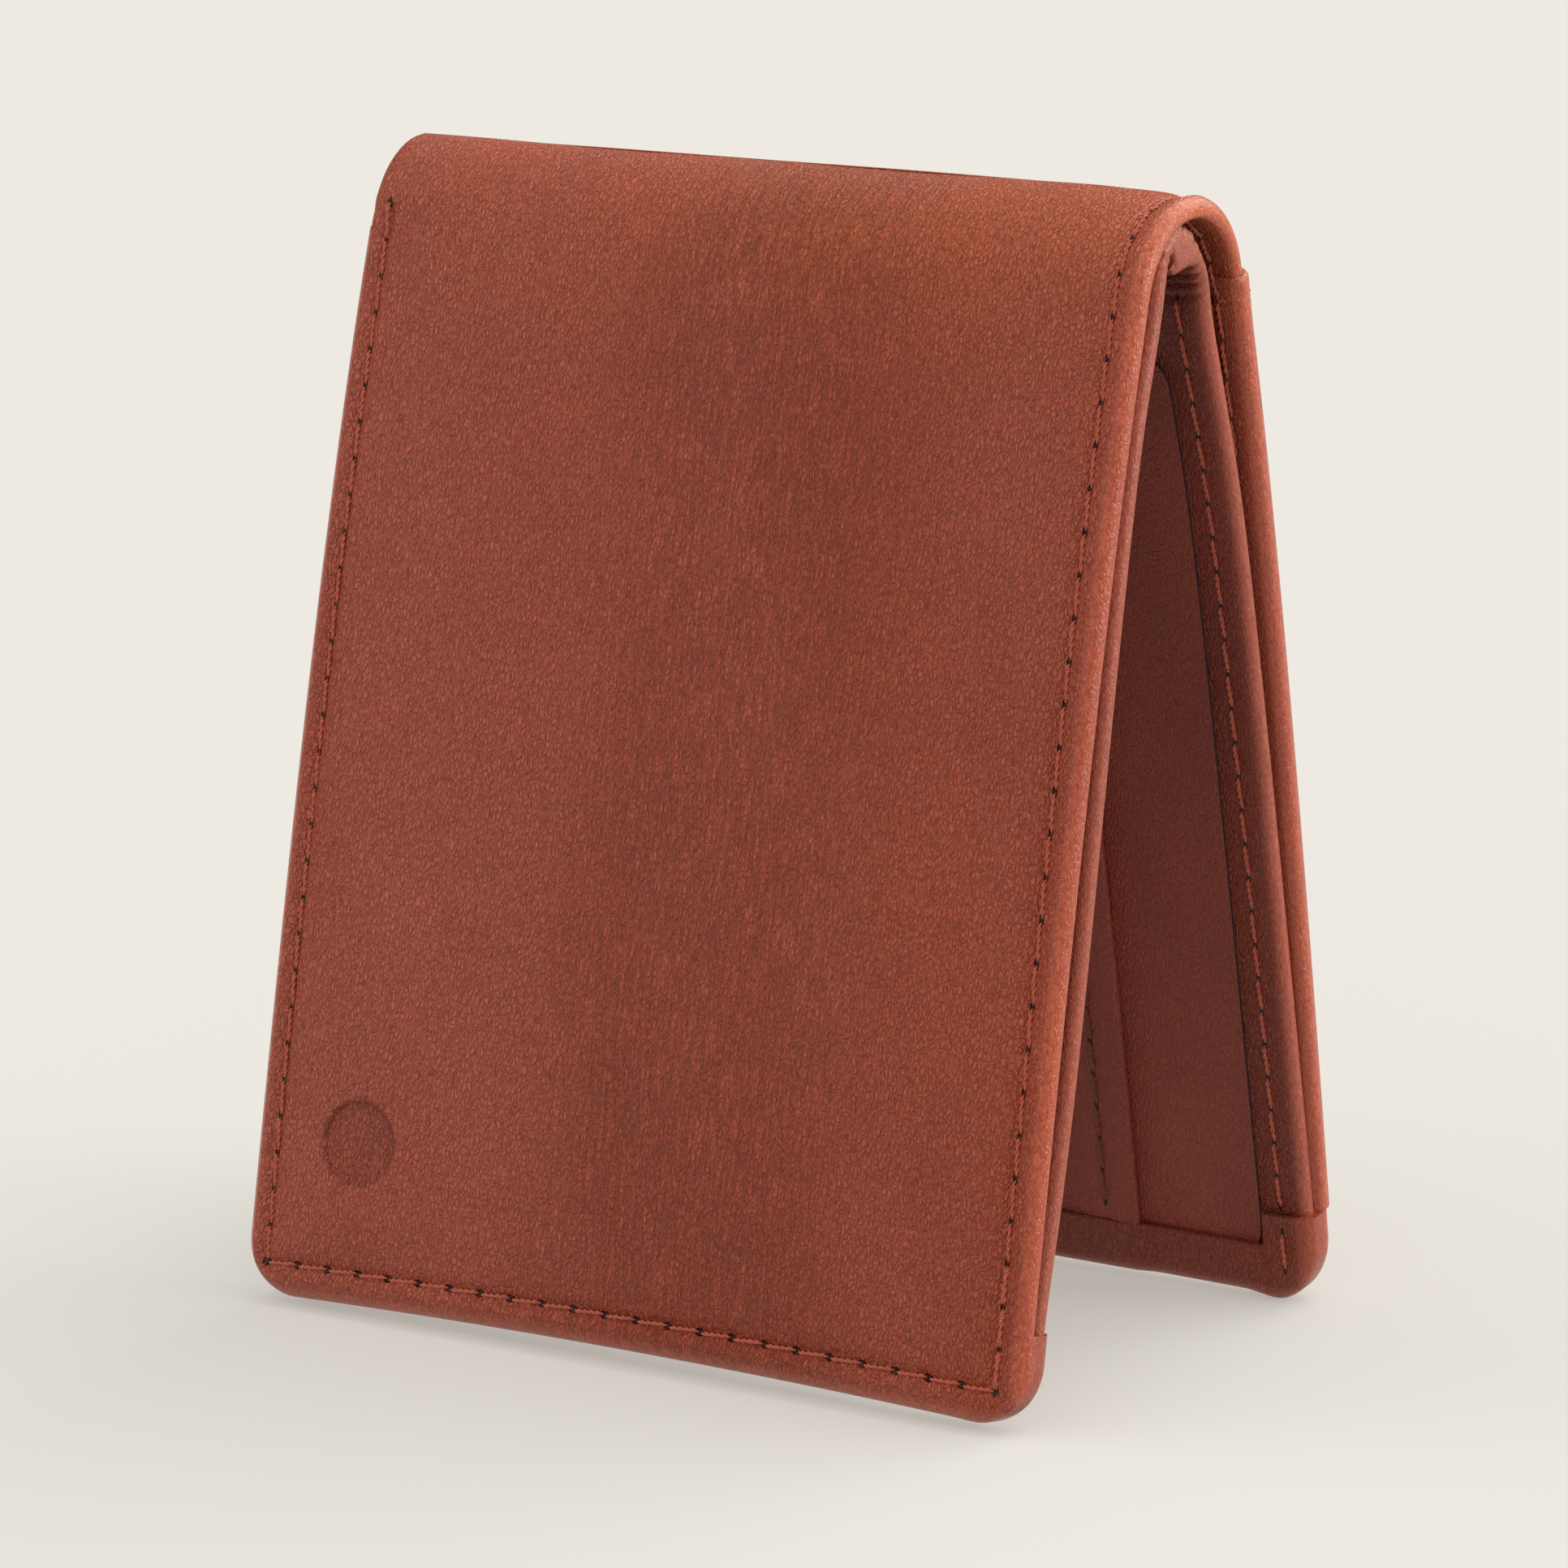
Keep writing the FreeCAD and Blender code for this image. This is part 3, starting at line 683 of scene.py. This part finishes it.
def make_thread(name, stitches, material):
    """Stitches as (start, end, outward direction, slant, how far the middle stands out)."""
    points, faces = [], []
    count = 0
    for start, end, outward, *bends in stitches:
        for line in stitch_lines(start, end, outward, *bends):
            rings = ring_points(line, outward)
            faces += ring_faces(*rings.shape[:2], count)
            points.append(rings.reshape(-1, 3))
            count += len(points[-1])
    points = np.vstack(points)
    mesh = bpy.data.meshes.new(name)
    mesh.from_pydata((points * MM).tolist(), [], faces)
    place = mesh.attributes.new("place", "FLOAT_VECTOR", "POINT")
    place.data.foreach_set("vector", points.ravel())
    mesh.shade_smooth()
    mesh.materials.append(material)
    piece = bpy.data.objects.new(name, mesh)
    bpy.context.scene.collection.objects.link(piece)
    return piece


def seam(at, side, holes, depth, outward_sign, slant=0.12):
    """Stitches between holes given as (x, u). outward_sign is -1 for an outer face."""
    holes = np.array(holes, float)
    surface = at(side, holes[:, 0], holes[:, 1], depth)
    above = at(side, holes[:, 0], holes[:, 1], np.asarray(depth) + outward_sign)
    outward = above - surface
    outward = outward / np.linalg.norm(outward, axis=1)[:, None]
    outward = (outward[:-1] + outward[1:]) / 2
    depth = np.broadcast_to(depth, len(holes))
    x, u = (holes[:-1] + holes[1:]).T / 2
    bulge = at(side, x, u, (depth[:-1] + depth[1:]) / 2) - (surface[:-1] + surface[1:]) / 2
    proud = STITCH_RISE + np.clip(np.sum(bulge * outward, axis=1), 0, None)
    slants = [slant] * len(outward)
    return list(zip(surface, surface[1:], outward, slants, proud))


def row(first, last, pitch):
    count = max(1, round(abs(last - first) / pitch))
    return np.linspace(first, last, count + 1)


def edge_holes():
    """Perimeter seam in three straight rows that meet at square corners."""
    closed = [(-SEAM_X, u) for u in row(CLOSED_TOP, SEAM, CLOSED_PITCH)]
    foot = [(x, SEAM) for x in row(-SEAM_X, SEAM_X, FOOT_PITCH)]
    mouth = [(SEAM_X, u) for u in row(SEAM, CREST, MOUTH_PITCH)]
    return closed, foot, mouth


def depth_on_face(side, holes):
    """Depth of the outermost face at each hole."""
    x, u = np.array(holes).T
    slip = np.where((u < PANEL - 0.5) & (side == BACK), SLIP, 0.0)
    return -cover_relief(side, x, u) - slip


def make_edge_thread(side, material):
    closed, foot, mouth = edge_holes()
    stitches = []
    for holes in (closed, foot, mouth):
        stitches += seam(at_cover, side, holes, depth_on_face(side, holes), -1)
    on_closed_flap = [(x, u) for x, u in closed if u < HEM_TOP]
    on_mouth_wrap = [(x, u) for x, u in mouth if u < WRAP]
    for holes in (on_closed_flap, on_mouth_wrap):
        depth = np.array([flap_depth(x) for x, u in holes])
        stitches += seam(at_cover, side, holes, depth, 1)
    inside_hem = [hole for hole in mouth if hole[1] > WRAP]
    wrapped = np.array([side == BACK and u < PANEL - 0.5 for x, u in inside_hem])
    over_slip = [(x + 0.8 * on_slip, u) for (x, u), on_slip in zip(inside_hem, wrapped)]
    stitches += seam(at_cover, side, over_slip, HEM + 0.5 * SLIP * wrapped, 1)
    stitches += seam(at_cover, side, mouth[:4], depth_on_face(side, mouth[:4]), -1, -0.22)
    return make_thread(f"{NAMES[side]}_edge_thread_twist", stitches, material)


def make_inner_thread(side, material):
    holes = [(INNER_SEAM_X, v) for v in row(*INNER_ROW, INNER_PITCH)]
    stitches = seam(at_inner, side, holes, INNER_PANEL, 1)
    return make_thread(f"{NAMES[side]}_inner_thread_twist", stitches, material)


def make_pocket_thread(side, material):
    stitches = []
    for order in (1, 2, 3):
        x = POCKET_EDGES[order] - LIP_INSET
        holes = [(x, v) for v in row(*LIP_ROW, INNER_PITCH)]
        depth = INNER_PANEL + POCKET * order + GAP + LIP_AT_SEAM
        stitches += seam(at_inner, side, holes, depth, 1)
    return make_thread(f"{NAMES[side]}_pocket_thread_twist", stitches, material)


# where the slip pocket's seam goes round a rolled edge: (x, d, outward in x, outward in d)
SLIP_TURN = [
    (SEAM_X, -SLIP - 0.1, 0, -1),
    (HALF_WIDTH - 0.2, -SLIP + 0.35, 0.6, -0.8),
    (HALF_WIDTH + 0.3, HEM, 0.9, 0.5),
    (SEAM_X + 0.5, HEM + 0.5, 0, 1),
]


def turned_stitches(way):
    """The slip pocket's seam round the rolled edge at the mouth (1) or the closed side (-1)."""
    x, d, out_x, out_d = np.array(SLIP_TURN).T
    surface = at_cover(BACK, way * x, SLIP_SEAM, d)
    outward = at_cover(BACK, way * (x + out_x), SLIP_SEAM, d + out_d) - surface
    outward = outward / np.linalg.norm(outward, axis=1)[:, None]
    outward = (outward[:-1] + outward[1:]) / 2
    return [(start, end, out, 0.05) for start, end, out in zip(surface, surface[1:], outward)]


def make_slip_thread(material):
    holes = [(x, SLIP_SEAM) for x in row(-SEAM_X, SEAM_X, FOOT_PITCH)]
    x, u = np.array(holes).T
    stitches = seam(at_cover, BACK, holes, -SLIP - cover_relief(BACK, x, u), -1)
    stitches += turned_stitches(-1) + turned_stitches(1)
    return make_thread("back_slip_thread_twist", stitches, material)


# ---- materials -----------------------------------------------------------------------------------
# pale pink of the painted sheen
PAINTED_SHEEN = (0.400, 0.080, 0.045, 1)
# pale colour of the painted highlight on the rolled edges, also used for light specks in the grain
EDGE_HIGHLIGHT_AND_SPECKS = (0.50, 0.125, 0.070, 1)
# near-black painted shade for the needle holes
PAINTED_HOLE_SHADE = (0.012, 0.004, 0.003, 1)
COVER_COLOURS = {
    "dark": (0.310, 0.044, 0.014, 1),
    "light": (0.395, 0.061, 0.020, 1),
    # crest: paler colour, a painted highlight along the fold
    "crest": (0.490, 0.094, 0.022, 1),
}
INNER_COLOURS = {"dark": (0.195, 0.031, 0.015, 1), "light": (0.25, 0.041, 0.018, 1)}
POCKET_COLOURS = {"dark": (0.21, 0.038, 0.022, 1), "light": (0.26, 0.048, 0.027, 1)}


class Shader:
    """A material built from a few nodes at a time."""

    def __init__(self, name):
        self.material = bpy.data.materials.new(name)
        self.material.use_nodes = True
        self.tree = self.material.node_tree
        self.surface = self.tree.nodes["Principled BSDF"]
        attribute = self.add("ShaderNodeAttribute", attribute_name="place")
        self.place = attribute.outputs["Vector"]

    def add(self, kind, *inputs, **settings):
        made = self.tree.nodes.new(kind)
        for name, setting in settings.items():
            setattr(made, name, setting)
        for socket, given in zip(made.inputs, inputs):
            self.put(socket, given)
        return made

    def put(self, socket, given):
        if given is None:
            return
        if isinstance(given, bpy.types.NodeSocket):
            self.tree.links.new(given, socket)
        else:
            socket.default_value = given

    def math(self, operation, *inputs, clamp=False):
        return self.add("ShaderNodeMath", *inputs, operation=operation, use_clamp=clamp).outputs[0]

    def noise(self, vector, scale, detail=3.0, roughness=0.5):
        made = self.add("ShaderNodeTexNoise")
        self.put(made.inputs["Vector"], vector)
        self.put(made.inputs["Scale"], scale)
        self.put(made.inputs["Detail"], detail)
        self.put(made.inputs["Roughness"], roughness)
        return made.outputs["Fac"]

    def ramp(self, value, low, high, to_low=0.0, to_high=1.0):
        stops = (value, low, high, to_low, to_high)
        return self.add("ShaderNodeMapRange", *stops, interpolation_type="SMOOTHSTEP").outputs[0]

    def apart(self, first, second):
        """Distance between two values."""
        return self.math("ABSOLUTE", self.math("SUBTRACT", first, second))

    def squares(self, first, second):
        return self.math("ADD", self.math("MULTIPLY", first, first), self.math("MULTIPLY", second, second))

    def stretch(self, vector, scale):
        return self.add("ShaderNodeVectorMath", vector, scale, operation="MULTIPLY").outputs[0]

    def mix(self, share, first, second):
        made = self.add("ShaderNodeMix", data_type="RGBA")
        self.put(made.inputs["Factor"], share)
        self.put(made.inputs[6], first)
        self.put(made.inputs[7], second)
        return made.outputs[2]

    def bump(self, height, distance, strength=1.0, normal=None):
        made = self.add("ShaderNodeBump")
        self.put(made.inputs["Strength"], strength)
        self.put(made.inputs["Distance"], distance)
        self.put(made.inputs["Height"], height)
        self.put(made.inputs["Normal"], normal)
        return made.outputs["Normal"]


def hole_row(shader, across, along, at, first, last, pitch, breadth=0.23, deepest=9.0):
    """1 in the needle holes of a row, 0 elsewhere."""
    held = shader.math("MINIMUM", shader.math("MAXIMUM", along, first), last)
    to_hole = shader.math("PINGPONG", shader.math("SUBTRACT", held, first), pitch / 2)
    run = shader.math("DIVIDE", shader.math("ADD", to_hole, shader.apart(along, held)), 0.46)
    aside = shader.math("DIVIDE", shader.math("SUBTRACT", across, at), breadth)
    depth = shader.add("ShaderNodeSeparateXYZ", shader.place).outputs[2]
    in_hole = shader.ramp(shader.squares(run, aside), 1.5, 0.5)
    return shader.math("MULTIPLY", in_hole, shader.math("LESS_THAN", depth, deepest))


def edge_wear_and_highlight(shader, x, along):
    """1 on the crest of the rolled edges, 0 a little inside them: there the leather is smoother and a
    highlight is painted.
    """
    to_side = shader.math("SUBTRACT", HALF_WIDTH, shader.math("ABSOLUTE", x))
    inset = shader.math("MINIMUM", to_side, along)
    return shader.ramp(inset, 1.9, 0.5)


def pressed_stamp(shader, x, u):
    """How far the round stamp has burnished the leather dark, strongest at its rim."""
    aside = shader.math("SUBTRACT", x, STAMP[0])
    above = shader.math("SUBTRACT", u, STAMP[1])
    reach = shader.math("SQRT", shader.squares(aside, above))
    within = shader.ramp(reach, STAMP_RADIUS + 0.15, STAMP_RADIUS - 0.25, 0.0, 0.34)
    rim = shader.ramp(shader.apart(reach, STAMP_RADIUS), 0.5, 0.05, 0.0, 0.4)
    return shader.math("ADD", within, rim)


def clouded(shader, x, u, wear_and_highlight, colours):
    """Cloudy dyed colour; painted highlight along the fold and on edge crests; painted sheen in patches and
    to the closed side.
    """
    cloud = shader.noise(shader.place, 0.022, 3.0, 0.5)
    colour = shader.mix(shader.ramp(cloud, 0.25, 0.75), colours["dark"], colours["light"])
    # painted highlight: a paler band along the fold's crest, where light from above falls
    if "crest" in colours:
        band = shader.ramp(shader.apart(u, CREST), 26.0, 6.0, 0.0, 0.85)
        colour = shader.mix(band, colour, colours["crest"])
    # painted highlight: the crests of the rolled edges are made paler
    colour = shader.mix(shader.math("MULTIPLY", wear_and_highlight, 0.35), colour, EDGE_HIGHLIGHT_AND_SPECKS)
    # painted sheen: pale soft patches, and more of it towards the closed side
    patches = shader.noise(shader.stretch(shader.place, (0.055, 0.018, 0.02)), 1.0, 2.0)
    painted_sheen = shader.ramp(patches, 0.38, 0.66, 0.0, 0.35)
    painted_sheen = shader.math("ADD", painted_sheen, shader.ramp(x, 20.0, -40.0, 0.0, 0.55))
    return shader.mix(painted_sheen, colour, PAINTED_SHEEN)


def pebbled(shader, drawn):
    """1 inside the small cells of the grain, 0 in the net of creases between them."""
    warp = shader.add("ShaderNodeTexNoise", drawn)
    warp.inputs["Scale"].default_value = 1.3
    moved = shader.add("ShaderNodeVectorMath", warp.outputs["Color"], (0.7, 0.7, 0.7), drawn)
    moved.operation = "MULTIPLY_ADD"
    pebbles = shader.add("ShaderNodeTexVoronoi", moved.outputs[0], feature="DISTANCE_TO_EDGE")
    pebbles.inputs["Scale"].default_value = 2.5
    return shader.ramp(pebbles.outputs["Distance"], 0.0, 0.22)


def bend_lines(shader, x):
    """1 in the fine upright creases down the middle of the panel."""
    lines = shader.noise(shader.stretch(shader.place, (2.2, 0.2, 1.0)), 1.0, 3.0, 0.6)
    near = shader.ramp(shader.apart(x, 6.0), 26.0, 6.0)
    return shader.math("MULTIPLY", shader.ramp(lines, 0.56, 0.40), near)


def needle_holes(shader, x, folded, holes):
    """1 in every needle hole. Each row of holes runs up the leather ("x") or along the foot ("u")."""
    found = 0.0
    for across, *where in holes:
        places = (x, folded) if across == "x" else (folded, x)
        found = shader.math("MAXIMUM", hole_row(shader, *places, *where), found)
    return found


def leather(name, colours, holes=(), roughness=0.37, creases=0.0, grain=1.0):
    """Smooth-grained cowhide with cloudy colour, fine pores and, where asked, needle holes."""
    shader = Shader(name)
    x, u, depth = shader.add("ShaderNodeSeparateXYZ", shader.place).outputs
    folded = shader.math("SUBTRACT", CREST, shader.apart(u, CREST))
    wear_and_highlight = edge_wear_and_highlight(shader, x, folded)
    drawn = shader.stretch(shader.place, (1.0, 0.52, 1.0))
    cells = pebbled(shader, drawn)
    fine = shader.noise(drawn, 3.4, 3.0, 0.6)
    pores = shader.ramp(shader.noise(drawn, 3.0, 2.0), 0.42, 0.30)
    height = shader.math("ADD", shader.math("MULTIPLY", cells, 0.75), fine)

    colour = clouded(shader, x, u, wear_and_highlight, colours)
    # darker tone for the grain, pores and stamp, also used as painted shade
    darker_tone_and_shade = tuple(0.42 * part for part in colours["dark"][:3]) + (1,)
    mottle = shader.noise(shader.place, 0.07, 4.0, 0.6)
    colour = shader.mix(shader.ramp(mottle, 0.42, 0.66, 0.0, 0.11), colour, darker_tone_and_shade)
    colour = shader.mix(shader.ramp(fine, 0.42, 0.64, 0.0, 0.36 * grain), colour, darker_tone_and_shade)
    colour = shader.mix(shader.ramp(cells, 0.7, 0.0, 0.0, 0.22 * grain), colour, darker_tone_and_shade)
    colour = shader.mix(shader.math("MULTIPLY", pores, 0.45 * grain), colour, darker_tone_and_shade)
    colour = shader.mix(shader.ramp(fine, 0.46, 0.32, 0.0, 0.26 * grain), colour, EDGE_HIGHLIGHT_AND_SPECKS)
    if "crest" in colours:
        # painted shade: the hems and turned-in flaps, deeper in the cover, are darker
        colour = shader.mix(shader.ramp(depth, 1.3, 2.2, 0.0, 0.4), colour, darker_tone_and_shade)
        colour = shader.mix(pressed_stamp(shader, x, u), colour, darker_tone_and_shade)
    if creases:
        line = bend_lines(shader, x)
        height = shader.math("SUBTRACT", height, shader.math("MULTIPLY", line, creases))
        # painted shade: the creases are darker as well as pressed in
        colour = shader.mix(shader.math("MULTIPLY", line, 0.35 * creases), colour, darker_tone_and_shade)
    height = shader.math("MULTIPLY", height, shader.math("MULTIPLY_ADD", wear_and_highlight, -0.85, 1.0))
    normal = shader.bump(height, 0.22 * grain * MM)
    if holes:
        pits = needle_holes(shader, x, folded, holes)
        # painted shade: the needle holes are coloured near-black
        colour = shader.mix(shader.math("MULTIPLY", pits, 0.93), colour, PAINTED_HOLE_SHADE)
        normal = shader.bump(shader.math("SUBTRACT", 1.0, pits), 0.35 * MM, 1.0, normal)
    rough = shader.math("MULTIPLY_ADD", fine, 0.16, roughness - 0.08)
    shader.put(shader.surface.inputs["Base Color"], colour)
    shader.put(shader.surface.inputs["Roughness"], shader.math("MULTIPLY_ADD", wear_and_highlight, -0.12, rough))
    shader.put(shader.surface.inputs["Normal"], normal)
    shader.surface.inputs["Specular IOR Level"].default_value = 0.38
    return shader.material


def cloth(name, colour):
    """Fine woven lining."""
    shader = Shader(name)
    weave = []
    for axis in ((6.0, 0.8, 1.0), (0.8, 6.0, 1.0)):
        weave.append(shader.noise(shader.stretch(shader.place, axis), 1.0, 2.0))
    height = shader.math("ADD", weave[0], weave[1])
    shade = shader.ramp(height, 0.7, 1.3)
    dark = tuple(0.65 * part for part in colour[:3]) + (1,)
    shader.put(shader.surface.inputs["Base Color"], shader.mix(shade, dark, colour))
    shader.put(shader.surface.inputs["Normal"], shader.bump(height, 0.05 * MM))
    shader.surface.inputs["Roughness"].default_value = 0.8
    return shader.material


def thread_material(name, colour):
    shader = Shader(name)
    fibre = shader.noise(shader.place, 6.0, 3.0)
    dark = tuple(0.5 * part for part in colour[:3]) + (1,)
    shader.put(shader.surface.inputs["Base Color"], shader.mix(shader.ramp(fibre, 0.3, 0.7), dark, colour))
    shader.put(shader.surface.inputs["Normal"], shader.bump(fibre, 0.03 * MM))
    shader.surface.inputs["Roughness"].default_value = 0.7
    shader.surface.inputs["Sheen Weight"].default_value = 0.3
    return shader.material


def plain(name, colour, roughness):
    shader = Shader(name)
    shader.surface.inputs["Base Color"].default_value = colour
    shader.surface.inputs["Roughness"].default_value = roughness
    return shader.material


# ---- build ---------------------------------------------------------------------------------------
cover_holes = [
    ("x", -SEAM_X, SEAM, CLOSED_TOP, CLOSED_PITCH),
    ("x", SEAM_X, SEAM, CREST, MOUTH_PITCH),
    ("u", SEAM, -SEAM_X, SEAM_X, FOOT_PITCH, 0.36, 1.0),
]
inner_holes = [("x", INNER_SEAM_X, *INNER_ROW, INNER_PITCH)]
lip_holes = [("x", edge - LIP_INSET, *LIP_ROW, INNER_PITCH) for edge in POCKET_EDGES[1:]]
cover_leather = leather("cover_leather", COVER_COLOURS, cover_holes, creases=0.8)
inner_leather = leather("inner_leather", INNER_COLOURS, inner_holes, roughness=0.46, grain=0.8)
pocket_leather = leather("pocket_leather", POCKET_COLOURS, lip_holes, roughness=0.5, grain=0.45)
base_leather = leather("base_leather", POCKET_COLOURS, roughness=0.5, grain=0.45)
lining_cloth = cloth("lining_cloth", (0.10, 0.035, 0.022, 1))
edge_paint = plain("edge_paint", (0.030, 0.026, 0.032, 1), 0.35)
brown_thread = thread_material("brown_thread", (0.22, 0.042, 0.024, 1))
orange_thread = thread_material("orange_thread", (0.54, 0.092, 0.040, 1))


def dress(piece, side, nodes, folds=False):
    """Hides the parts that a piece replaces. A piece over the fold keeps its place baked into its mesh; the
    others are hung on their half's body.
    """
    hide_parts(*nodes)
    if folds:
        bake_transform(piece)
    else:
        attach(piece, f"{NAMES[side]}_half")


def build_half(side):
    half = NAMES[side]
    over_fold = [
        (make_cover(side, cover_leather), "cover_leather", "cover", ["spine_cover"]),
        (make_cover_lining(side, lining_cloth), "lining", "cover_lining", ["spine_lining"]),
        (make_inner_panel(side, inner_leather), "inner_leather", "inner_panel", ["spine_inner_panel"]),
        (make_inner_lining(side, lining_cloth), "lining", "inner_lining", ["spine_inner_lining"]),
        (make_edge_thread(side, orange_thread), "thread", "edge_thread", ["spine_thread"]),
        (make_inner_thread(side, orange_thread), "thread", "inner_thread", []),
    ]
    for piece, slot, part, on_spine in over_fold:
        dress(piece, side, [f"{half}_{part}"] + on_spine, True)
    flat = [(make_pocket_base(side, base_leather, edge_paint), "pocket_base_leather", "pocket_base")]
    for order in (1, 2, 3):
        pocket = make_card_pocket(side, order, pocket_leather)
        flat.append((pocket, "pocket_leather", f"card_pocket_{order}"))
    flat.append((make_pocket_thread(side, brown_thread), "thread", "pocket_thread"))
    for piece, slot, part in flat:
        dress(piece, side, [f"{half}_{part}"])


build_half(FRONT)
build_half(BACK)
dress(make_slip_pocket(cover_leather), BACK, ["back_slip_pocket"], True)
dress(make_slip_thread(orange_thread), BACK, ["back_slip_thread"], True)


# ---- studio --------------------------------------------------------------------------------------
# soft boxes: azimuth, elevation, cosine of the angle at the edge and at the middle, strength
SOFT_BOXES = [
    (0, 90, -0.2, 1.0, 0.06),
    (-50, 55, 0.75, 0.98, 1.2),
    (60, 55, 0.75, 0.98, 0.9),
    (20, 30, 0.80, 0.98, 0.9),
    (-50, 18, 0.86, 0.99, 1.7),
    (112, 10, 0.86, 0.99, 6.5),
    (165, 30, 0.84, 0.99, 3.0),
    (150, 65, 0.80, 0.98, 2.5),
]


# the camera, in degrees and metres
CAMERA_AZIMUTH = 33.43
CAMERA_ELEVATION = 11.47
CAMERA_DISTANCE = 0.724
LOOK_AT = (-0.0004, -0.0014, 0.0519)


def look_from(azimuth, elevation, distance, target):
    a, e = math.radians(azimuth), math.radians(elevation)
    back = Vector((math.sin(a) * math.cos(e), -math.cos(a) * math.cos(e), math.sin(e)))
    return Vector(target) + back * distance, back.to_track_quat("Z", "Y").to_euler()


def soft_sky(colour, overall, lobes):
    """Light from all round, and broad soft boxes."""
    world = bpy.data.worlds.new("studio")
    world.use_nodes = True
    nodes, links = world.node_tree.nodes, world.node_tree.links
    background = nodes["Background"]
    background.inputs["Color"].default_value = colour
    direction = nodes.new("ShaderNodeTexCoord").outputs["Generated"]
    total = None
    for azimuth, elevation, edge, middle, strength in lobes:
        towards = nodes.new("ShaderNodeVectorMath")
        towards.operation = "DOT_PRODUCT"
        links.new(direction, towards.inputs[0])
        towards.inputs[1].default_value = look_from(azimuth, elevation, 1, (0, 0, 0))[0]
        lobe = nodes.new("ShaderNodeMapRange")
        lobe.interpolation_type = "SMOOTHSTEP"
        links.new(towards.outputs["Value"], lobe.inputs[0])
        for socket, given in zip(lobe.inputs[1:5], (edge, middle, 0.0, strength)):
            socket.default_value = given
        add = nodes.new("ShaderNodeMath")
        links.new(lobe.outputs[0], add.inputs[0])
        if total is None:
            add.inputs[1].default_value = overall
        else:
            links.new(total, add.inputs[1])
        total = add.outputs[0]
    links.new(total, background.inputs["Strength"])
    return world


def make_studio():
    scene = bpy.context.scene
    bpy.ops.mesh.primitive_plane_add(size=12, location=(0, 0, 0))
    floor = bpy.context.object
    floor.name = "studio_floor"
    paper = plain("floor_paper", (0.28, 0.278, 0.272, 1), 0.9)
    surface = paper.node_tree.nodes["Principled BSDF"]
    surface.inputs["Emission Color"].default_value = (0.871, 0.838, 0.768, 1)
    surface.inputs["Emission Strength"].default_value = 0.45
    surface.inputs["Specular IOR Level"].default_value = 0.0
    floor.data.materials.append(paper)
    scene.world = soft_sky((1.0, 0.965, 0.91, 1), 0.12, SOFT_BOXES)
    data = bpy.data.cameras.new("camera")
    data.sensor_width = 36
    data.lens = 171
    camera = bpy.data.objects.new("camera", data)
    placed = look_from(CAMERA_AZIMUTH, CAMERA_ELEVATION, CAMERA_DISTANCE, LOOK_AT)
    camera.location, camera.rotation_euler = placed
    scene.collection.objects.link(camera)
    scene.camera = camera
    scene.view_settings.view_transform = "Standard"


make_studio()
